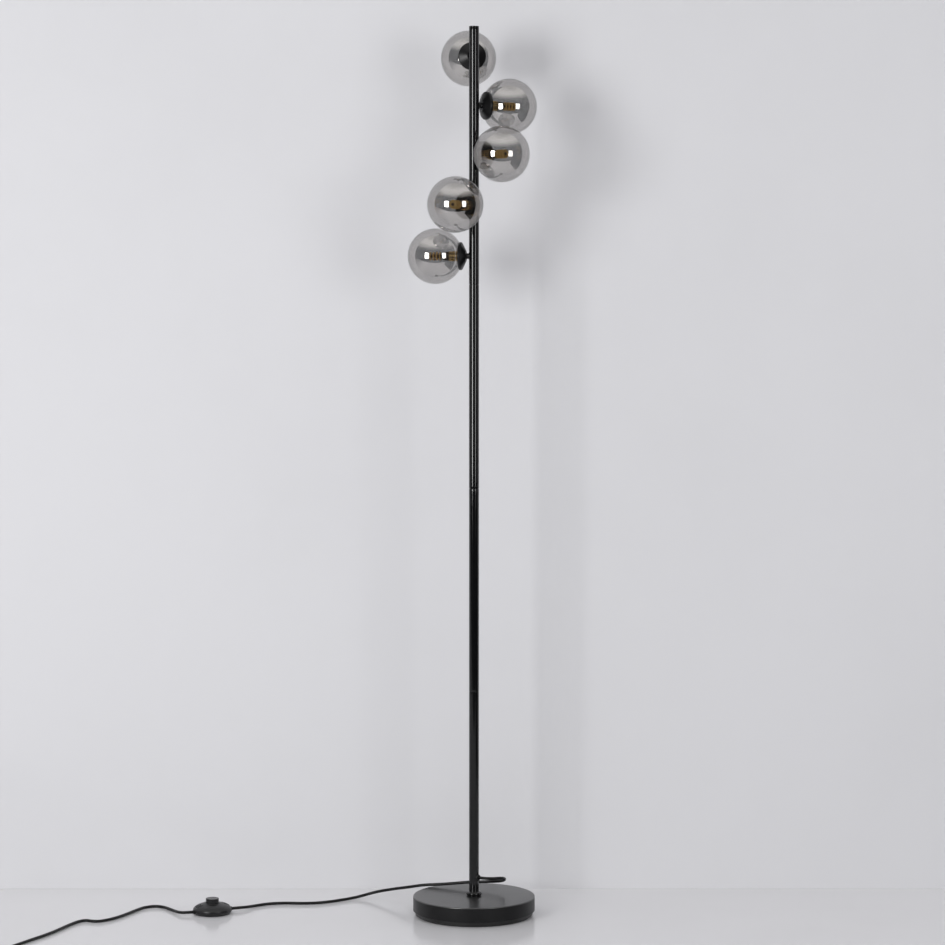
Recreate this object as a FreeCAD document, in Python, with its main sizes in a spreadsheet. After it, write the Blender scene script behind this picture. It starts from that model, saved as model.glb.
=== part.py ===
"""Globe floor lamp: weighted round base, four-piece pole, five smoked glass globes
climbing round the pole's head, and a mains lead with a foot switch.

Frame: millimetres, +Z up, +X to the right and +Y away from the viewer. The origin
is on the floor, on the pole's axis. Azimuths are counted from the front (-Y), and
are positive towards +X.
"""
import FreeCAD
import Part
import math
import os

import Sketcher
from FreeCAD import Placement, Rotation, Vector

doc = FreeCAD.newDocument("GlobeFloorLamp")

# ---------------------------------------------------------------------------
# Driving dimensions
# ---------------------------------------------------------------------------
DIMENSIONS = [
    # base
    ("base_radius", 111.0, "outside of the pressed steel cover"),
    ("base_top_height", 35.5, "cover's top face above the floor"),
    ("cover_wall", 1.5, "sheet of the cover"),
    ("cover_edge_round", 1.2, "bevel round the cover's top edge"),
    ("cover_floor_gap", 9.0, "cover's lower edge above the floor"),
    ("plate_inset", 4.0, "bottom plate's rim inside the cover's outside"),
    ("plate_rim_height", 7.5, "bottom plate's rim, from the pad up"),
    ("plate_web", 2.0, "bottom plate's web above the nut"),
    ("nut_pocket_radius", 19.0, "pocket in the plate for the nut"),
    ("pad_thickness", 2.0, "felt pad under the plate"),
    ("pad_inset", 3.0, "pad's edge inside the plate's rim"),
    ("weight_clearance", 1.0, "weight inside the cover's wall"),
    ("stud_radius", 5.0, "threaded rod that pulls base and pole together"),
    ("stud_hole_clearance", 0.25, "round the rod in base parts"),
    ("stud_recess", 3.0, "rod's end below the foot insert's top"),
    ("insert_clamp_gap", 1.5, "foot insert's top below the lead clamp in the pole"),
    ("base_washer_radius", 14.0, "washer on the rod"),
    ("base_washer_thickness", 1.5, "washer on the rod"),
    ("base_nut_across_flats", 14.0, "thin hexagon nut"),
    ("base_nut_thickness", 3.0, "thin hexagon nut"),
    ("stud_nut_overhang", 0.4, "rod below the nut"),
    ("collar_radius", 14.2, "bead ring round the pole's foot"),
    ("collar_height", 7.0, "bead ring round the pole's foot"),
    ("collar_round", 2.2, "bevels of the bead ring"),
    # pole
    ("pole_radius", 9.0, "outside of every pole tube"),
    ("pole_wall", 1.0, "wall of every pole tube"),
    ("tube_end_bevel", 0.35, "bevel that shows as the seam"),
    ("foot_tube_length", 374.5, "lowest tube"),
    ("middle_tube_length", 369.0, "second and third tube"),
    ("top_arm_margin", 49.0, "tube that carries the globes, above the top arm"),
    ("joiner_length", 44.0, "coupling, half in each tube"),
    ("joiner_bore_radius", 5.2, "way for the wires"),
    ("joiner_groove_width", 3.0, "thread run-out at the seam"),
    ("joiner_groove_depth", 0.6, "thread run-out at the seam"),
    ("cap_thickness", 2.0, "pole cap above the tube"),
    ("cap_round", 0.8, "bevel of the pole cap"),
    ("cap_plug_length", 8.0, "pole cap inside the tube"),
    # lead exit, clamp and inner wiring
    ("exit_height", 69.0, "grommet's centre above the floor"),
    ("exit_azimuth", 55.0, "grommet's direction"),
    ("grommet_radius", 5.6, "outer flange"),
    ("grommet_waist_radius", 4.4, "in the tube's hole"),
    ("grommet_reach", 11.0, "outer face from the pole's axis"),
    ("grommet_inner_radius", 5.3, "inner flange"),
    ("grommet_inner_reach", 5.0, "inner face from the pole's axis"),
    ("clamp_half_width", 3.5, "lead clamp in the pole"),
    ("clamp_half_depth", 5.0, "lead clamp in the pole"),
    ("clamp_half_height", 7.0, "lead clamp in the pole"),
    ("splice_radius", 3.2, "closed crimp caps"),
    ("splice_length", 18.0, "closed crimp caps"),
    ("splice_offset", 3.4, "crimp caps and wires from the axis"),
    ("splice_height", 92.0, "crimp caps' lower end"),
    ("wire_radius", 0.9, "insulated inner wires"),
    ("wire_top_gap", 10.0, "wires' upper end above the top arm"),
    ("arm_wire_offset", 1.1, "wires in an arm from its axis"),
    ("arm_wire_start", 5.2, "arm wires' inner end from the pole's axis"),
    # arms, cups and lamp holders; reaches are from the pole's axis
    ("arm_count", 5.0, "arms round the pole"),
    ("first_arm_offset", 51.0, "lowest arm above the lower end of the tube it is on"),
    ("arm_pitch", 90.0, "rise from one arm to the next"),
    ("first_arm_azimuth", -100.0, "direction of the lowest arm"),
    ("arm_step_angle", 72.0, "turn from one arm to the next"),
    ("neck_radius", 5.6, "arm between pole and cup"),
    ("neck_length", 5.4, "arm between pole and cup"),
    ("neck_thread_radius", 4.0, "arm's threaded ends"),
    ("neck_thread_in_pole", 2.0, "thread inside the tube's wall"),
    ("neck_bore_radius", 2.4, "way for the wires"),
    ("thread_hole_clearance", 0.05, "round the arm's threads"),
    ("cup_radius", 25.2, "outside of the cup's rim"),
    ("cup_back_radius", 9.9, "small end of the cup"),
    ("cup_cone_depth", 7.9, "cup's cone along the arm"),
    ("cup_rim_width", 4.2, "cup's straight rim"),
    ("cup_rim_bevel", 0.5, "outer edges of the rim"),
    ("cup_wall", 1.2, "cup's sheet"),
    ("cup_back_thickness", 2.6, "cup's bottom"),
    ("boss_radius", 13.94, "threaded seat of the globe in the cup"),
    ("boss_wall", 2.34, "threaded seat of the globe in the cup"),
    ("boss_length", 7.0, "seat above the cup's bottom"),
    ("locknut_across_flats", 12.0, "nut on the arm in the cup"),
    ("locknut_thickness", 2.5, "nut on the arm in the cup"),
    ("holder_radius", 9.0, "ceramic lamp holder"),
    ("holder_length", 27.5, "ceramic lamp holder"),
    ("holder_front_bevel", 1.0, "ceramic lamp holder"),
    ("holder_thread_depth", 1.5, "arm's end in the holder's back"),
    ("holder_pin_depth", 12.0, "contact holes in the holder's face"),
    ("holder_pin_clearance", 0.2, "round the bulb's pins"),
    # bulbs
    ("bulb_pin_radius", 0.8, "two pins of the bulb"),
    ("bulb_pin_length", 11.0, "two pins of the bulb"),
    ("bulb_pin_pitch", 9.0, "two pins of the bulb"),
    ("bulb_radius", 6.9, "bulb's straight body"),
    ("bulb_foot_radius", 7.8, "bulb's foot"),
    ("bulb_foot_length", 9.0, "bulb's foot"),
    ("bulb_length", 42.0, "bulb from the holder's face"),
    ("bulb_ring_radius", 8.0, "light rings on the body"),
    ("bulb_ring_width", 1.6, "light rings on the body"),
    ("bulb_ring_pitch", 5.9, "light rings on the body"),
    ("bulb_ring_start", 14.2, "first ring from the holder's face"),
    ("bulb_ring_count", 4.0, "light rings on the body"),
    ("bulb_tip_radius", 3.6, "flat of the bulb's end"),
    # globes
    ("globe_radius", 50.0, "outside of the glass"),
    ("globe_wall", 2.0, "glass"),
    ("globe_reach", 70.8, "globe's centre from the pole's axis"),
    ("globe_neck_radius", 16.0, "outside of the glass neck"),
    ("globe_neck_gap", 2.6, "neck's end above the cup's bottom"),
    ("globe_seat_clearance", 0.06, "glass neck round the cup's seat"),
    # foot switch
    ("switch_x", -478.7, "middle of the foot switch"),
    ("switch_y", 10.0, "middle of the foot switch"),
    ("switch_turn", 25.0, "lead's line through the switch, from +X"),
    ("switch_radius", 35.3, "widest part of the switch"),
    ("switch_bottom_radius", 32.5, "lower shell on the floor"),
    ("switch_seam_height", 7.0, "between lower and upper shell"),
    ("switch_belly_height", 4.6, "where the lower shell is widest"),
    ("switch_dome_height", 13.5, "upper shell above the seam"),
    ("switch_wall", 2.0, "both shells"),
    ("switch_entry_height", 5.5, "lead's axis at the switch"),
    ("switch_gland_radius", 4.2, "glands on the lead"),
    ("switch_gland_inner_reach", 27.0, "glands' inner end from the middle"),
    ("switch_gland_reach", 37.0, "glands' outer face from the middle"),
    ("switch_screw_reach", 24.0, "screws from the middle"),
    ("switch_screw_radius", 1.5, "screws that close the switch"),
    ("switch_screw_head_radius", 2.8, "screws that close the switch"),
    ("switch_screw_head_height", 1.6, "screws that close the switch"),
    ("switch_screw_recess", 0.8, "screw heads above the floor"),
    ("switch_screw_length", 9.5, "shank above the head"),
    ("switch_post_radius", 3.5, "posts that take the screws"),
    ("button_radius", 12.0, "round push button"),
    ("button_clearance", 0.3, "round the button in the shell"),
    ("button_top_height", 28.0, "button's top above the floor"),
    ("button_edge_round", 0.9, "bevel of the button's top"),
    ("button_wall", 2.4, "hollow button"),
    ("button_flange_radius", 13.6, "flange that keeps the button in"),
    ("button_flange_thickness", 1.5, "flange that keeps the button in"),
    ("button_travel", 3.5, "stroke of the button"),
    ("button_stop_gap", 4.2, "air from the contact block to the flange when pressed"),
    ("contact_block_length", 34.0, "contact block along the lead"),
    ("contact_block_width", 20.0, "contact block across the lead"),
    ("contact_block_height", 5.5, "contact block above the shell's floor"),
    ("spring_coil_radius", 5.6, "middle of the spring's wire"),
    ("spring_wire_radius", 0.6, "spring's wire"),
    ("spring_turns", 5.0, "spring under the button"),
    # plug and lead
    ("plug_length", 36.0, "flat two-pin plug"),
    ("plug_width", 35.0, "flat two-pin plug"),
    ("plug_tail_width", 16.0, "plug where the relief starts"),
    ("plug_thickness", 13.8, "flat two-pin plug"),
    ("plug_corner_round", 3.0, "edges of the plug along its axis"),
    ("plug_pin_radius", 2.0, "round pins"),
    ("plug_pin_length", 19.0, "round pins"),
    ("plug_pin_pitch", 18.6, "round pins"),
    ("relief_length", 30.0, "tapered relief behind the plug"),
    ("relief_base_radius", 5.6, "relief at the plug"),
    ("relief_tip_radius", 3.6, "relief at the lead"),
    ("cord_radius", 2.75, "round two-core lead"),
    ("exit_corner_reach", 19.8, "lead's first corner from the pole's axis"),
    ("switch_corner_reach", 52.0, "lead's nearest corners from the switch's middle"),
    ("coil_corner_reach", 16.0, "lead's first corner beyond the coil's end"),
    ("coil_outer_radius", 35.0, "middle of the outer turn"),
    ("coil_layer_turns", 1.75, "turns in each of the two layers"),
    ("coil_gap", 0.45, "air between turns"),
]

sheet = doc.addObject("Spreadsheet::Sheet", "dims")
for row, (alias, value, note) in enumerate(DIMENSIONS, start=1):
    sheet.set("A%d" % row, alias)
    sheet.set("B%d" % row, str(value))
    sheet.setAlias("B%d" % row, alias)
    sheet.set("C%d" % row, note)
doc.recompute()


def value_of(expression):
    """Number that an expression on the sheet stands for."""
    return float(sheet.evalExpression(expression.replace("dims.", "")))


def size(alias):
    """Value of one driving dimension."""
    return float(sheet.get(alias))


# Derived places, as expressions on the sheet
POLE_BORE = "(dims.pole_radius - dims.pole_wall)"
PLATE_TOP = "(dims.pad_thickness + dims.plate_rim_height)"
COVER_CEILING = "(dims.base_top_height - dims.cover_wall)"
PLATE_WEB_UNDERSIDE = "(%s - dims.plate_web)" % PLATE_TOP
WASHER_UNDERSIDE = "(%s - dims.base_washer_thickness)" % PLATE_WEB_UNDERSIDE
NUT_UNDERSIDE = "(%s - dims.base_nut_thickness)" % WASHER_UNDERSIDE
STUD_BOTTOM = "(%s - dims.stud_nut_overhang)" % NUT_UNDERSIDE
STUD_HOLE = "(dims.stud_radius + dims.stud_hole_clearance)"
INSERT_TOP = "(dims.exit_height - dims.clamp_half_height - dims.insert_clamp_gap)"
CUP_BACK = "(dims.pole_radius + dims.neck_length)"
CUP_FLOOR = "(%s + dims.cup_back_thickness)" % CUP_BACK
CUP_CONE_END = "(%s + dims.cup_cone_depth)" % CUP_BACK
CUP_MOUTH = "(%s + dims.cup_rim_width)" % CUP_CONE_END
HOLDER_BACK = "(%s + dims.locknut_thickness)" % CUP_FLOOR
HOLDER_FACE = "(%s + dims.holder_length)" % HOLDER_BACK
NECK_END = "(%s + dims.holder_thread_depth)" % HOLDER_BACK
CONTACT_TOP = "(dims.switch_wall + dims.contact_block_height)"
BUTTON_FLANGE = "(%s + dims.button_stop_gap + dims.button_travel)" % CONTACT_TOP
BUTTON_FLANGE_TOP = "(%s + dims.button_flange_thickness)" % BUTTON_FLANGE
CONE_SLOPE = "((dims.cup_radius - dims.cup_back_radius) / dims.cup_cone_depth)"
CONE_RADIAL_WALL = "(dims.cup_wall * sqrt(1 + %s ^ 2))" % CONE_SLOPE
GLOBE_SEAT_BORE = "(dims.boss_radius + dims.globe_seat_clearance)"
GLOBE_NECK_END = "(%s + dims.globe_neck_gap)" % CUP_FLOOR


def cone_inside_reach(radius):
    """Reach at which the cup's inner cone has this radius."""
    return "(%s + (%s - dims.cup_back_radius + %s) / %s)" % (CUP_BACK, radius, CONE_RADIAL_WALL, CONE_SLOPE)


# ---------------------------------------------------------------------------
# Builders
# ---------------------------------------------------------------------------
nodes = []


def keep(obj, name):
    """Name an object as one sub-part of the lamp."""
    obj.Label = name
    nodes.append(obj)
    return obj


def origin_plane(body, role):
    """One of a body's own base planes or axes."""
    return [feature for feature in body.Origin.OriginFeatures if feature.Role == role][0]


def outline_sketch(sketch, outline):
    """Closed outline of straight edges through points given as expressions."""
    corners = [Vector(value_of(first), value_of(second), 0) for first, second in outline]
    count = len(corners)
    for index in range(count):
        sketch.addGeometry(Part.LineSegment(corners[index], corners[(index + 1) % count]), False)
    for index in range(count):
        sketch.addConstraint(Sketcher.Constraint("Coincident", index, 2, (index + 1) % count, 1))
    for index, point in enumerate(outline):
        for kind, expression, axis in zip(("DistanceX", "DistanceY"), point, (-2, -1)):
            if expression == "0":
                sketch.addConstraint(Sketcher.Constraint("PointOnObject", index, 1, axis))
                continue
            number = sketch.addConstraint(
                Sketcher.Constraint(kind, -1, 1, index, 1, value_of(expression)))
            sketch.setExpression("Constraints[%d]" % number, expression)


def turned(name, outline):
    """Body turned about its own Z axis from (radius, height) expressions."""
    body = doc.addObject("PartDesign::Body", name)
    sketch = body.newObject("Sketcher::SketchObject", name + "_profile")
    sketch.AttachmentSupport = (origin_plane(body, "XZ_Plane"), [""])
    sketch.MapMode = "FlatFace"
    outline_sketch(sketch, outline)
    revolution = body.newObject("PartDesign::Revolution", name + "_turned")
    revolution.Profile = sketch
    revolution.ReferenceAxis = (sketch, ["V_Axis"])
    revolution.Angle = 360
    body.Tip = revolution
    return body


def bind(obj, **expressions):
    """Bind properties of an object to expressions on the sheet."""
    for name, expression in expressions.items():
        obj.setExpression(name.replace("__", "."), expression)
    return obj


def cylinder(name, radius, start, end, x="0", y="0"):
    """Cylinder along Z between two heights."""
    rod = doc.addObject("Part::Cylinder", name)
    bind(rod, Radius=radius, Height="(%s) - (%s)" % (end, start))
    return bind(rod, Placement__Base__x=x, Placement__Base__y=y, Placement__Base__z=start)


def cross_cylinder(name, radius, half_length):
    """Cylinder along Y through the origin: the pole, as an arm's own frame sees it."""
    rod = doc.addObject("Part::Cylinder", name)
    bind(rod, Radius=radius, Height="2 * (%s)" % half_length)
    rod.Placement = Placement(Vector(0, -value_of(half_length), 0), Rotation(Vector(1, 0, 0), -90))
    return rod


def cut(name, base, *tools):
    """Base without the tools."""
    result = base
    for index, tool in enumerate(tools):
        step = doc.addObject("Part::Cut", "%s_cut%d" % (name, index))
        step.Base = result
        step.Tool = tool
        result = step
    return result


def fuse(name, *shapes):
    """One solid from touching or crossing shapes."""
    result = doc.addObject("Part::MultiFuse", name + "_fuse")
    result.Shapes = list(shapes)
    return result


def common(name, base, tool):
    """What two shapes share."""
    result = doc.addObject("Part::Common", name + "_common")
    result.Base = base
    result.Tool = tool
    return result


def group(name, *shapes):
    """Separate solids in one node."""
    result = doc.addObject("Part::Compound", name + "_group")
    result.Links = list(shapes)
    return result


def hexagon_nut(name, across_flats, bore, start, end):
    """Hexagon nut along Z."""
    prism = doc.addObject("Part::Prism", name + "_hexagon")
    prism.Polygon = 6
    bind(prism, Circumradius="%s / sqrt(3)" % across_flats, Height="(%s) - (%s)" % (end, start))
    bind(prism, Placement__Base__z=start)
    return cut(name, prism, cylinder(name + "_bore", bore, start, end))


def radial_placement(azimuth, height):
    """Frame whose Z runs out from the pole and whose Y points up."""
    turn = math.radians(azimuth)
    across = Vector(math.cos(turn), math.sin(turn), 0)
    outward = Vector(math.sin(turn), -math.cos(turn), 0)
    return Placement(Vector(0, 0, height), Rotation(across, Vector(0, 0, 1), outward, "ZYX"))


# ---------------------------------------------------------------------------
# Base
# ---------------------------------------------------------------------------
def build_base():
    """Cover, weight, bottom plate, pad and what pulls them together."""
    cover_bore = "(dims.base_radius - dims.cover_wall)"
    keep(turned("base_cover", [
        (STUD_HOLE, COVER_CEILING),
        (cover_bore, COVER_CEILING),
        (cover_bore, "dims.cover_floor_gap"),
        ("dims.base_radius", "dims.cover_floor_gap"),
        ("dims.base_radius", "dims.base_top_height - dims.cover_edge_round"),
        ("dims.base_radius - dims.cover_edge_round", "dims.base_top_height"),
        (STUD_HOLE, "dims.base_top_height"),
    ]), "base_cover")
    weight_radius = "%s - dims.weight_clearance" % cover_bore
    keep(turned("base_weight", [
        (STUD_HOLE, PLATE_TOP),
        (weight_radius, PLATE_TOP),
        (weight_radius, COVER_CEILING),
        (STUD_HOLE, COVER_CEILING),
    ]), "base_weight")
    plate_radius = "dims.base_radius - dims.plate_inset"
    keep(turned("base_plate", [
        ("dims.nut_pocket_radius", "dims.pad_thickness"),
        (plate_radius, "dims.pad_thickness"),
        (plate_radius, PLATE_TOP),
        (STUD_HOLE, PLATE_TOP),
        (STUD_HOLE, PLATE_WEB_UNDERSIDE),
        ("dims.nut_pocket_radius", PLATE_WEB_UNDERSIDE),
    ]), "base_plate")
    pad_radius = "%s - dims.pad_inset" % plate_radius
    keep(cylinder("base_pad", pad_radius, "0", "dims.pad_thickness"), "base_pad")
    keep(turned("base_washer", [
        (STUD_HOLE, WASHER_UNDERSIDE),
        ("dims.base_washer_radius", WASHER_UNDERSIDE),
        ("dims.base_washer_radius", PLATE_WEB_UNDERSIDE),
        (STUD_HOLE, PLATE_WEB_UNDERSIDE),
    ]), "base_washer")
    keep(hexagon_nut("base_nut", "dims.base_nut_across_flats", "dims.stud_radius",
                     NUT_UNDERSIDE, WASHER_UNDERSIDE), "base_nut")
    stud_top = "%s - dims.stud_recess" % INSERT_TOP
    keep(cylinder("pole_stud", "dims.stud_radius", STUD_BOTTOM, stud_top), "pole_stud")
    keep(turned("pole_collar", [
        ("dims.pole_radius", "dims.base_top_height"),
        ("dims.collar_radius - dims.collar_round / 2", "dims.base_top_height"),
        ("dims.collar_radius", "dims.base_top_height + dims.collar_round"),
        ("dims.collar_radius", "dims.base_top_height + dims.collar_height - dims.collar_round"),
        ("dims.collar_radius - dims.collar_round", "dims.base_top_height + dims.collar_height"),
        ("dims.pole_radius", "dims.base_top_height + dims.collar_height"),
    ]), "pole_collar")


# ---------------------------------------------------------------------------
# Pole
# ---------------------------------------------------------------------------
SEAMS = [
    "dims.base_top_height + dims.foot_tube_length",
    "dims.base_top_height + dims.foot_tube_length + dims.middle_tube_length",
    "dims.base_top_height + dims.foot_tube_length + 2 * dims.middle_tube_length",
]
FIRST_ARM = "(%s + dims.first_arm_offset)" % SEAMS[-1]
TOP_ARM = "(%s + (dims.arm_count - 1) * dims.arm_pitch)" % FIRST_ARM
POLE_TOP = "(%s + dims.top_arm_margin)" % TOP_ARM


def arm_placements():
    """Frame of every arm, from the lowest up."""
    count = int(size("arm_count"))
    return [radial_placement(size("first_arm_azimuth") + index * size("arm_step_angle"),
                             value_of(FIRST_ARM) + index * size("arm_pitch"))
            for index in range(count)]


def pole_tube(name, bottom, top):
    """Tube with a fine bevel at both ends."""
    return turned(name, [
        (POLE_BORE, bottom),
        ("dims.pole_radius - dims.tube_end_bevel", bottom),
        ("dims.pole_radius", "%s + dims.tube_end_bevel" % bottom),
        ("dims.pole_radius", "%s - dims.tube_end_bevel" % top),
        ("dims.pole_radius - dims.tube_end_bevel", top),
        (POLE_BORE, top),
    ])


def build_pole():
    """Four tubes, three couplings, the foot insert and the cap."""
    exit_hole = cylinder("exit_hole", "dims.grommet_waist_radius", "0", "dims.pole_radius + dims.pole_wall")
    exit_hole.Placement = radial_placement(size("exit_azimuth"), size("exit_height"))
    exit_hole.setExpression("Placement.Base.z", "dims.exit_height")
    foot_tube = pole_tube("foot_tube_body", "dims.base_top_height", SEAMS[0])
    keep(cut("pole_tube_1", foot_tube, exit_hole), "pole_tube_1")
    keep(pole_tube("pole_tube_2", SEAMS[0], SEAMS[1]), "pole_tube_2")
    keep(pole_tube("pole_tube_3", SEAMS[1], SEAMS[2]), "pole_tube_3")
    arm_holes = []
    for index, placement in enumerate(arm_placements(), start=1):
        hole = cylinder("arm_hole_%d" % index, "dims.neck_thread_radius + dims.thread_hole_clearance",
                        "0", "dims.pole_radius + dims.pole_wall")
        for axis in ("x", "y", "z"):
            hole.setExpression("Placement.Base." + axis, None)
        hole.Placement = placement
        arm_holes.append(hole)
    head_tube = pole_tube("head_tube_body", SEAMS[2], POLE_TOP)
    keep(cut("pole_tube_4", head_tube, *arm_holes), "pole_tube_4")

    keep(turned("foot_insert", [
        ("dims.stud_radius", "dims.base_top_height"),
        (POLE_BORE, "dims.base_top_height"),
        (POLE_BORE, INSERT_TOP),
        ("dims.stud_radius", INSERT_TOP),
    ]), "foot_insert")
    half = "dims.joiner_length / 2"
    groove = "dims.joiner_groove_width / 2"
    groove_radius = "%s - dims.joiner_groove_depth" % POLE_BORE
    for index, seam in enumerate(SEAMS, start=1):
        name = "pole_joiner_%d" % index
        keep(turned(name, [
            ("dims.joiner_bore_radius", "%s - %s" % (seam, half)),
            (POLE_BORE, "%s - %s" % (seam, half)),
            (POLE_BORE, "%s - %s" % (seam, groove)),
            (groove_radius, "%s - %s" % (seam, groove)),
            (groove_radius, "%s + %s" % (seam, groove)),
            (POLE_BORE, "%s + %s" % (seam, groove)),
            (POLE_BORE, "%s + %s" % (seam, half)),
            ("dims.joiner_bore_radius", "%s + %s" % (seam, half)),
        ]), name)
    keep(turned("pole_cap", [
        ("0", "%s - dims.cap_plug_length" % POLE_TOP),
        (POLE_BORE, "%s - dims.cap_plug_length" % POLE_TOP),
        (POLE_BORE, POLE_TOP),
        ("dims.pole_radius", POLE_TOP),
        ("dims.pole_radius", "%s + dims.cap_thickness - dims.cap_round" % POLE_TOP),
        ("dims.pole_radius - dims.cap_round", "%s + dims.cap_thickness" % POLE_TOP),
        ("0", "%s + dims.cap_thickness" % POLE_TOP),
    ]), "pole_cap")


# ---------------------------------------------------------------------------
# Lead exit and inner wiring
# ---------------------------------------------------------------------------
def build_exit_and_wiring():
    """Grommet, lead clamp, crimp caps and the wires up the pole."""
    exit_frame = radial_placement(size("exit_azimuth"), size("exit_height"))
    flange = cut("grommet_flange",
                 cylinder("grommet_flange_disc", "dims.grommet_radius", "0", "dims.grommet_reach"),
                 cross_cylinder("grommet_pole", "dims.pole_radius", "dims.grommet_radius * 2"))
    waist = cylinder("grommet_waist", "dims.grommet_waist_radius", "dims.grommet_inner_reach",
                     "dims.grommet_reach")
    inner = common("grommet_inner",
                   cylinder("grommet_inner_disc", "dims.grommet_inner_radius",
                            "dims.grommet_inner_reach", "dims.pole_radius"),
                   cross_cylinder("grommet_bore_of_pole", POLE_BORE, "dims.grommet_radius * 2"))
    grommet = cut("cord_grommet", fuse("grommet", flange, waist, inner),
                  cylinder("grommet_bore", "dims.cord_radius", "0", "dims.grommet_reach"))
    grommet.Placement = exit_frame
    keep(grommet, "cord_grommet")

    clamp = doc.addObject("Part::Box", "cord_clamp")
    bind(clamp, Length="2 * dims.clamp_half_depth", Width="2 * dims.clamp_half_height",
         Height="2 * dims.clamp_half_width")
    corner = Vector(-size("clamp_half_depth"), -size("clamp_half_height"), -size("clamp_half_width"))
    clamp.Placement = exit_frame.multiply(Placement(corner, Rotation()))
    keep(clamp, "cord_clamp")

    splice_top = "(dims.splice_height + dims.splice_length)"
    wires_top = "%s + dims.wire_top_gap" % TOP_ARM
    clamp_top = "dims.exit_height + dims.clamp_half_height"
    splices = []
    wires = []
    for side, offset in (("a", "dims.splice_offset"), ("b", "-dims.splice_offset")):
        splices.append(cylinder("splice_" + side, "dims.splice_radius", "dims.splice_height",
                                splice_top, offset))
        wires.append(cylinder("clamp_wire_" + side, "dims.wire_radius", clamp_top,
                              "dims.splice_height", offset))
        wires.append(cylinder("pole_wire_" + side, "dims.wire_radius", splice_top, wires_top, offset))
    keep(group("wire_splices", *splices), "wire_splices")
    for index, placement in enumerate(arm_placements(), start=1):
        for side, offset in (("a", 1), ("b", -1)):
            wire = cylinder("arm_wire_%d%s" % (index, side), "dims.wire_radius", "dims.arm_wire_start",
                            NECK_END)
            for axis in ("x", "y", "z"):
                wire.setExpression("Placement.Base." + axis, None)
            start = Vector(offset * size("arm_wire_offset"), 0, size("arm_wire_start"))
            wire.Placement = placement.multiply(Placement(start, Rotation()))
            wires.append(wire)
    keep(group("lamp_wires", *wires), "lamp_wires")


# ---------------------------------------------------------------------------
# Arms, cups, lamp holders, bulbs and globes
# ---------------------------------------------------------------------------
def build_neck(name):
    """Arm: a saddle on the pole and a thread at each end, bored for the wires."""
    shoulder = cut(name + "_saddle", cylinder(name + "_shoulder", "dims.neck_radius", "0", CUP_BACK),
                   cross_cylinder(name + "_pole", "dims.pole_radius", "dims.neck_radius * 2"))
    thread = cylinder(name + "_thread", "dims.neck_thread_radius",
                      "dims.pole_radius - dims.neck_thread_in_pole", NECK_END)
    return cut(name, fuse(name, shoulder, thread),
               cylinder(name + "_bore", "dims.neck_bore_radius", "0", NECK_END))


def build_cup(name):
    """Cup: cone, straight rim and the threaded seat inside it."""
    hole = "(dims.neck_thread_radius + dims.thread_hole_clearance)"
    rim_bore = "(dims.cup_radius - dims.cup_wall)"
    seat_bore = "dims.boss_radius - dims.boss_wall"
    seat_end = "%s + dims.boss_length" % CUP_FLOOR
    return turned(name, [
        (hole, CUP_BACK),
        ("dims.cup_back_radius", CUP_BACK),
        ("dims.cup_radius", CUP_CONE_END),
        ("dims.cup_radius", "%s - dims.cup_rim_bevel" % CUP_MOUTH),
        ("dims.cup_radius - dims.cup_rim_bevel", CUP_MOUTH),
        (rim_bore, CUP_MOUTH),
        (rim_bore, cone_inside_reach(rim_bore)),
        ("dims.boss_radius", cone_inside_reach("dims.boss_radius")),
        ("dims.boss_radius", seat_end),
        (seat_bore, seat_end),
        (seat_bore, CUP_FLOOR),
        (hole, CUP_FLOOR),
    ])


def build_holder(name):
    """Lamp holder: a ceramic cylinder with two contact holes."""
    body = turned(name + "_body", [
        ("0", NECK_END),
        ("dims.neck_thread_radius", NECK_END),
        ("dims.neck_thread_radius", HOLDER_BACK),
        ("dims.holder_radius", HOLDER_BACK),
        ("dims.holder_radius", "%s - dims.holder_front_bevel" % HOLDER_FACE),
        ("dims.holder_radius - dims.holder_front_bevel", HOLDER_FACE),
        ("0", HOLDER_FACE),
    ])
    holes = [cylinder("%s_hole_%s" % (name, side), "dims.bulb_pin_radius + dims.holder_pin_clearance",
                      "%s - dims.holder_pin_depth" % HOLDER_FACE, HOLDER_FACE,
                      "%s * dims.bulb_pin_pitch / 2" % sign)
             for side, sign in (("a", "1"), ("b", "-1"))]
    return cut(name, body, *holes)


def build_bulb(name):
    """Pin bulb: foot, straight body with light rings, and two pins."""
    outline = [
        ("0", HOLDER_FACE),
        ("dims.bulb_foot_radius", HOLDER_FACE),
        ("dims.bulb_foot_radius", "%s + dims.bulb_foot_length" % HOLDER_FACE),
        ("dims.bulb_radius", "%s + dims.bulb_foot_length" % HOLDER_FACE),
    ]
    for ring in range(int(size("bulb_ring_count"))):
        start = "%s + dims.bulb_ring_start + %d * dims.bulb_ring_pitch" % (HOLDER_FACE, ring)
        end = "%s + dims.bulb_ring_width" % start
        outline += [("dims.bulb_radius", start), ("dims.bulb_ring_radius", start),
                    ("dims.bulb_ring_radius", end), ("dims.bulb_radius", end)]
    tip = "%s + dims.bulb_length" % HOLDER_FACE
    outline += [
        ("dims.bulb_radius", "%s - (dims.bulb_radius - dims.bulb_tip_radius)" % tip),
        ("dims.bulb_tip_radius", tip),
        ("0", tip),
    ]
    pins = [cylinder("%s_pin_%s" % (name, side), "dims.bulb_pin_radius",
                     "%s - dims.bulb_pin_length" % HOLDER_FACE, HOLDER_FACE,
                     "%s * dims.bulb_pin_pitch / 2" % sign)
            for side, sign in (("a", "1"), ("b", "-1"))]
    return fuse(name, turned(name + "_body", outline), *pins)


def sphere(name, radius):
    """Ball at the globe's centre."""
    ball = doc.addObject("Part::Sphere", name)
    return bind(ball, Radius=radius, Placement__Base__z="dims.globe_reach")


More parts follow.
